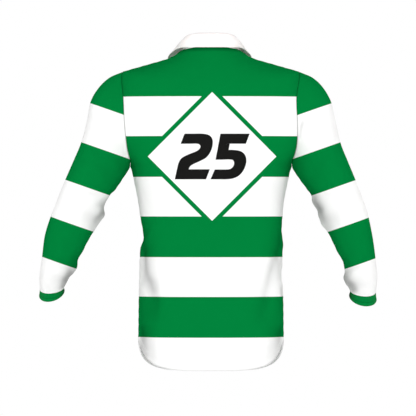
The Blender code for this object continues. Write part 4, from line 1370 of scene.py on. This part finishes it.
STITCH_PITCH = 3.3 * MM
STITCH_LENGTH = 2.7 * MM
THREAD_RADIUS = 0.27 * MM
STITCH_SIDES = 6
STITCH_RINGS = 4
STITCH_LIFT, STITCH_SINK = 0.55, 1.2  # of its middle, and how far its ends lie below that, in thread radii
STITCH_TAPER = 0.45  # how much thinner its ends are
THREAD_SHADE = 0.9
THREAD_TWIST = 0.35 * MM
SEAM_STITCHES = (2.2 * MM, 7.5 * MM)  # from an armhole or shoulder seam to its rows
HEM_STITCHES = (HEM_TURNING - 5 * MM, HEM_TURNING - 1.5 * MM)
CUFF_SEAM_STITCH = 2.5 * MM
COLLAR_SIZE = (2.8 * MM, 2.3 * MM)  # pitch and length of a stitch
PLACKET_SIZE = (2.6 * MM, 2.1 * MM)
BUTTONHOLE_SIZE = (0.7 * MM, 0.95 * MM)
BUTTONHOLE_REACH = 9 * MM  # from its middle to each end
BUTTONHOLE_SIDE = 0.9 * MM  # from its middle line to each row
BUTTON_THREAD_SIDE = 0.25 * MM  # from a hole's middle to each of its two threads
BUTTON_THREAD_SINK = 0.5 * MM  # how much longer they are than the way between two holes


def stitch_row(path, normals, pitch=STITCH_PITCH, length=STITCH_LENGTH):
    """Points of a row of stitches along a path: each an arc of thread that rises from the cloth and sinks
    back into it, thinner at its ends. The result has a row for each stitch."""
    path, normals = np.asarray(path), np.asarray(normals)
    run = run_length(path, 0)
    count = max(int(run[-1] / pitch), 1)
    middle = (np.arange(count) + 0.5) * run[-1] / count
    share = np.linspace(-1, 1, STITCH_RINGS)
    at = middle[:, None] + share * length / 2
    ring_at = np.stack([np.interp(at, run, path[:, k]) for k in range(3)], -1)
    out = unit(np.stack([np.interp(at, run, normals[:, k]) for k in range(3)], -1))
    heading = unit(ring_at[:, -1:] - ring_at[:, :1])
    aside = unit(np.cross(heading, out))
    ring_at = ring_at + out * (THREAD_RADIUS * (STITCH_LIFT - STITCH_SINK * share**2))[:, None]
    around = np.linspace(0, 2 * math.pi, STITCH_SIDES + 1)[:-1]
    girth = THREAD_RADIUS * (1 - STITCH_TAPER * share**2)
    spread = out[:, :, None] * np.cos(around)[:, None] + aside[:, :, None] * np.sin(around)[:, None]
    return ring_at[:, :, None] + spread * girth[:, None, None]


def thread_piece(name, rows, material):
    """All the stitches of some rows as one mesh: each is a tube of rings closed by a cap at both ends."""
    stitches = np.concatenate(rows)
    count = len(stitches)
    cell = np.arange(STITCH_RINGS * STITCH_SIDES).reshape(STITCH_RINGS, STITCH_SIDES)
    tube = grid_quads(np.hstack([cell, cell[:, :1]]))[:, [0, 3, 2, 1]]
    caps = np.stack([cell[0], cell[-1, ::-1]])
    start = (np.arange(count) * cell.size)[:, None, None]
    groups = [(tube + start).reshape(-1, 4), (caps + start).reshape(-1, STITCH_SIDES)]
    mesh_piece(name, stitches.reshape(-1, 3), groups, material)


def turned(*grids):
    """The same grids with their columns as rows."""
    return [np.swapaxes(grid, 0, 1) for grid in grids]


def at_distance(points, normals, wanted, distances=None):
    """Along each row of a grid, the place that lies a wanted distance from its start, and its normal."""
    distances = run_length(points, 1) if distances is None else distances
    upper = np.clip(np.argmax(distances > wanted, axis=1), 1, points.shape[1] - 1)
    rows = np.arange(len(points))
    near, far = distances[rows, upper - 1], distances[rows, upper]
    share = np.clip((wanted - near) / np.maximum(far - near, 1e-9), 0, 1)[:, None]
    place = points[rows, upper - 1] * (1 - share) + points[rows, upper] * share
    return place, unit(normals[rows, upper - 1] * (1 - share) + normals[rows, upper] * share)


def thread_dye(colour):
    return tuple(part * THREAD_SHADE for part in colour[:3]) + (1,)


def thread(name, colour=None, hoops=None):
    """Twisted cotton thread in one dye, or in the hoops' colours where it's given hoops."""
    material, tree, shader = new_material(name, roughness=0.7, sheen=CLOTH_SHEEN)
    place = object_place(tree)
    if hoops:
        colour = hoop_colour(tree, place, hoops, thread_dye(GREEN), thread_dye(WHITE))
        tree.links.new(shader.inputs["Base Color"], colour)
    else:
        dye_shader(tree, shader, colour, Amount=0.06)
    total = math_node(tree, "ADD", math_node(tree, "ADD", place[0], place[1]), place[2])
    twist = math_node(tree, "SINE", math_node(tree, "MULTIPLY", total, 2 * math.pi / THREAD_TWIST))
    add_relief(tree, shader, twist, 0.05 * MM, 0.5)
    return material


body_thread = thread("hooped thread", hoops=BODY_HOOPS)
sleeve_thread = thread("hooped sleeve thread", hoops=SLEEVE_HOOPS)
white_thread = thread("white thread", colour=TWILL_WHITE)
green_thread = thread("green thread", colour=thread_dye(GREEN))

seam_rows, hem_rows = [], []
for outer, normals in ((back_outer, back_normals), (front_outer, front_normals)):
    for flip in (1, -1):
        beside = outer[ARMHOLE_ROW:, ::flip], normals[ARMHOLE_ROW:, ::flip]
        seam_rows += [stitch_row(*at_distance(*beside, wanted)) for wanted in SEAM_STITCHES]
    hem_rows += [stitch_row(*at_distance(*turned(outer, normals), wanted)) for wanted in HEM_STITCHES]
thread_piece("armhole_and_shoulder_stitches", seam_rows, body_thread)
thread_piece("hem_stitches", hem_rows, body_thread)

sleeve_rows, cuff_rows = [], []
for side in SIDE_NAMES:
    outer, _, normals, _, _ = arms[side]
    up_sleeve = turned(outer[SLEEVE_ROWS::-1], normals[SLEEVE_ROWS::-1])
    sleeve_rows.append(stitch_row(*at_distance(*up_sleeve, CUFF_SEAM_STITCH)))
    outer, _, normals, _, _ = cuffs[side]
    down_cuff = turned(outer, normals)
    down = run_length(down_cuff[0], 1)
    cuff_rows.append(stitch_row(*at_distance(*down_cuff, CUFF_STITCH, down / down[:, -1:])))
thread_piece("cuff_seam_stitches", sleeve_rows, sleeve_thread)
thread_piece("cuff_stitches", cuff_rows, green_thread)

edge_path, edge_out = at_distance(*turned(fall_outer[::-1], fall_out[::-1]), EDGE_STITCH)
from_end = run_length(edge_path, 0)
inside = (from_end > EDGE_STITCH) & (from_end < from_end[-1] - EDGE_STITCH)
collar_rows = [stitch_row(edge_path[inside], edge_out[inside], *COLLAR_SIZE)]
for flip in (1, -1):
    end_path, end_out = at_distance(fall_outer[:, ::flip], fall_out[:, ::flip], EDGE_STITCH)
    kept = (fall_down[-1, 0] - run_length(end_path, 0)) > EDGE_STITCH
    kept[:ROLL_ROWS] = False
    collar_rows.append(stitch_row(end_path[kept], end_out[kept], *COLLAR_SIZE))
thread_piece("collar_stitches", collar_rows, white_thread)


def placket_row(x, z, size=PLACKET_SIZE, steps=60):
    """A straight row of stitches on the placket between two places, as seen from the front."""
    way = np.linspace(0, 1, steps)
    path, normals = on_front(x[0] + (x[1] - x[0]) * way, z[0] + (z[1] - z[0]) * way, SEAM_GAP + TWILL)
    return stitch_row(path, normals, *size)


half = PLACKET_WIDTH / 2 - PLACKET_STITCH
foot = PLACKET_END + PLACKET_STITCH
box_top = foot + PLACKET_BOX
placket_rows = [placket_row((x, x), (placket_top, foot)) for x in (-half, half)]
for ends in ((foot, foot), (box_top, box_top), (foot, box_top), (box_top, foot)):
    placket_rows.append(placket_row((-half, half), ends))
for height in BUTTON_HEIGHTS:
    ends = (height * MM - BUTTONHOLE_REACH, height * MM + BUTTONHOLE_REACH)
    for x in (-BUTTONHOLE_SIDE, BUTTONHOLE_SIDE):
        placket_rows.append(placket_row((x, x), ends, BUTTONHOLE_SIZE, 40))
    top, right, up, out = button_frame(height, BUTTON_PROFILE[0].height * MM)
    reach = HOLE_CIRCLE / math.sqrt(2)
    for x in (-reach, reach):
        for shift in (-BUTTON_THREAD_SIDE, BUTTON_THREAD_SIDE):
            path = np.stack([top + right * (x + shift) + up * y for y in (-reach, 0, reach)])
            size = (2 * reach, 2 * reach + BUTTON_THREAD_SINK)
            placket_rows.append(stitch_row(path, np.repeat(out[None], 3, 0), *size))
thread_piece("placket_stitches", placket_rows, white_thread)
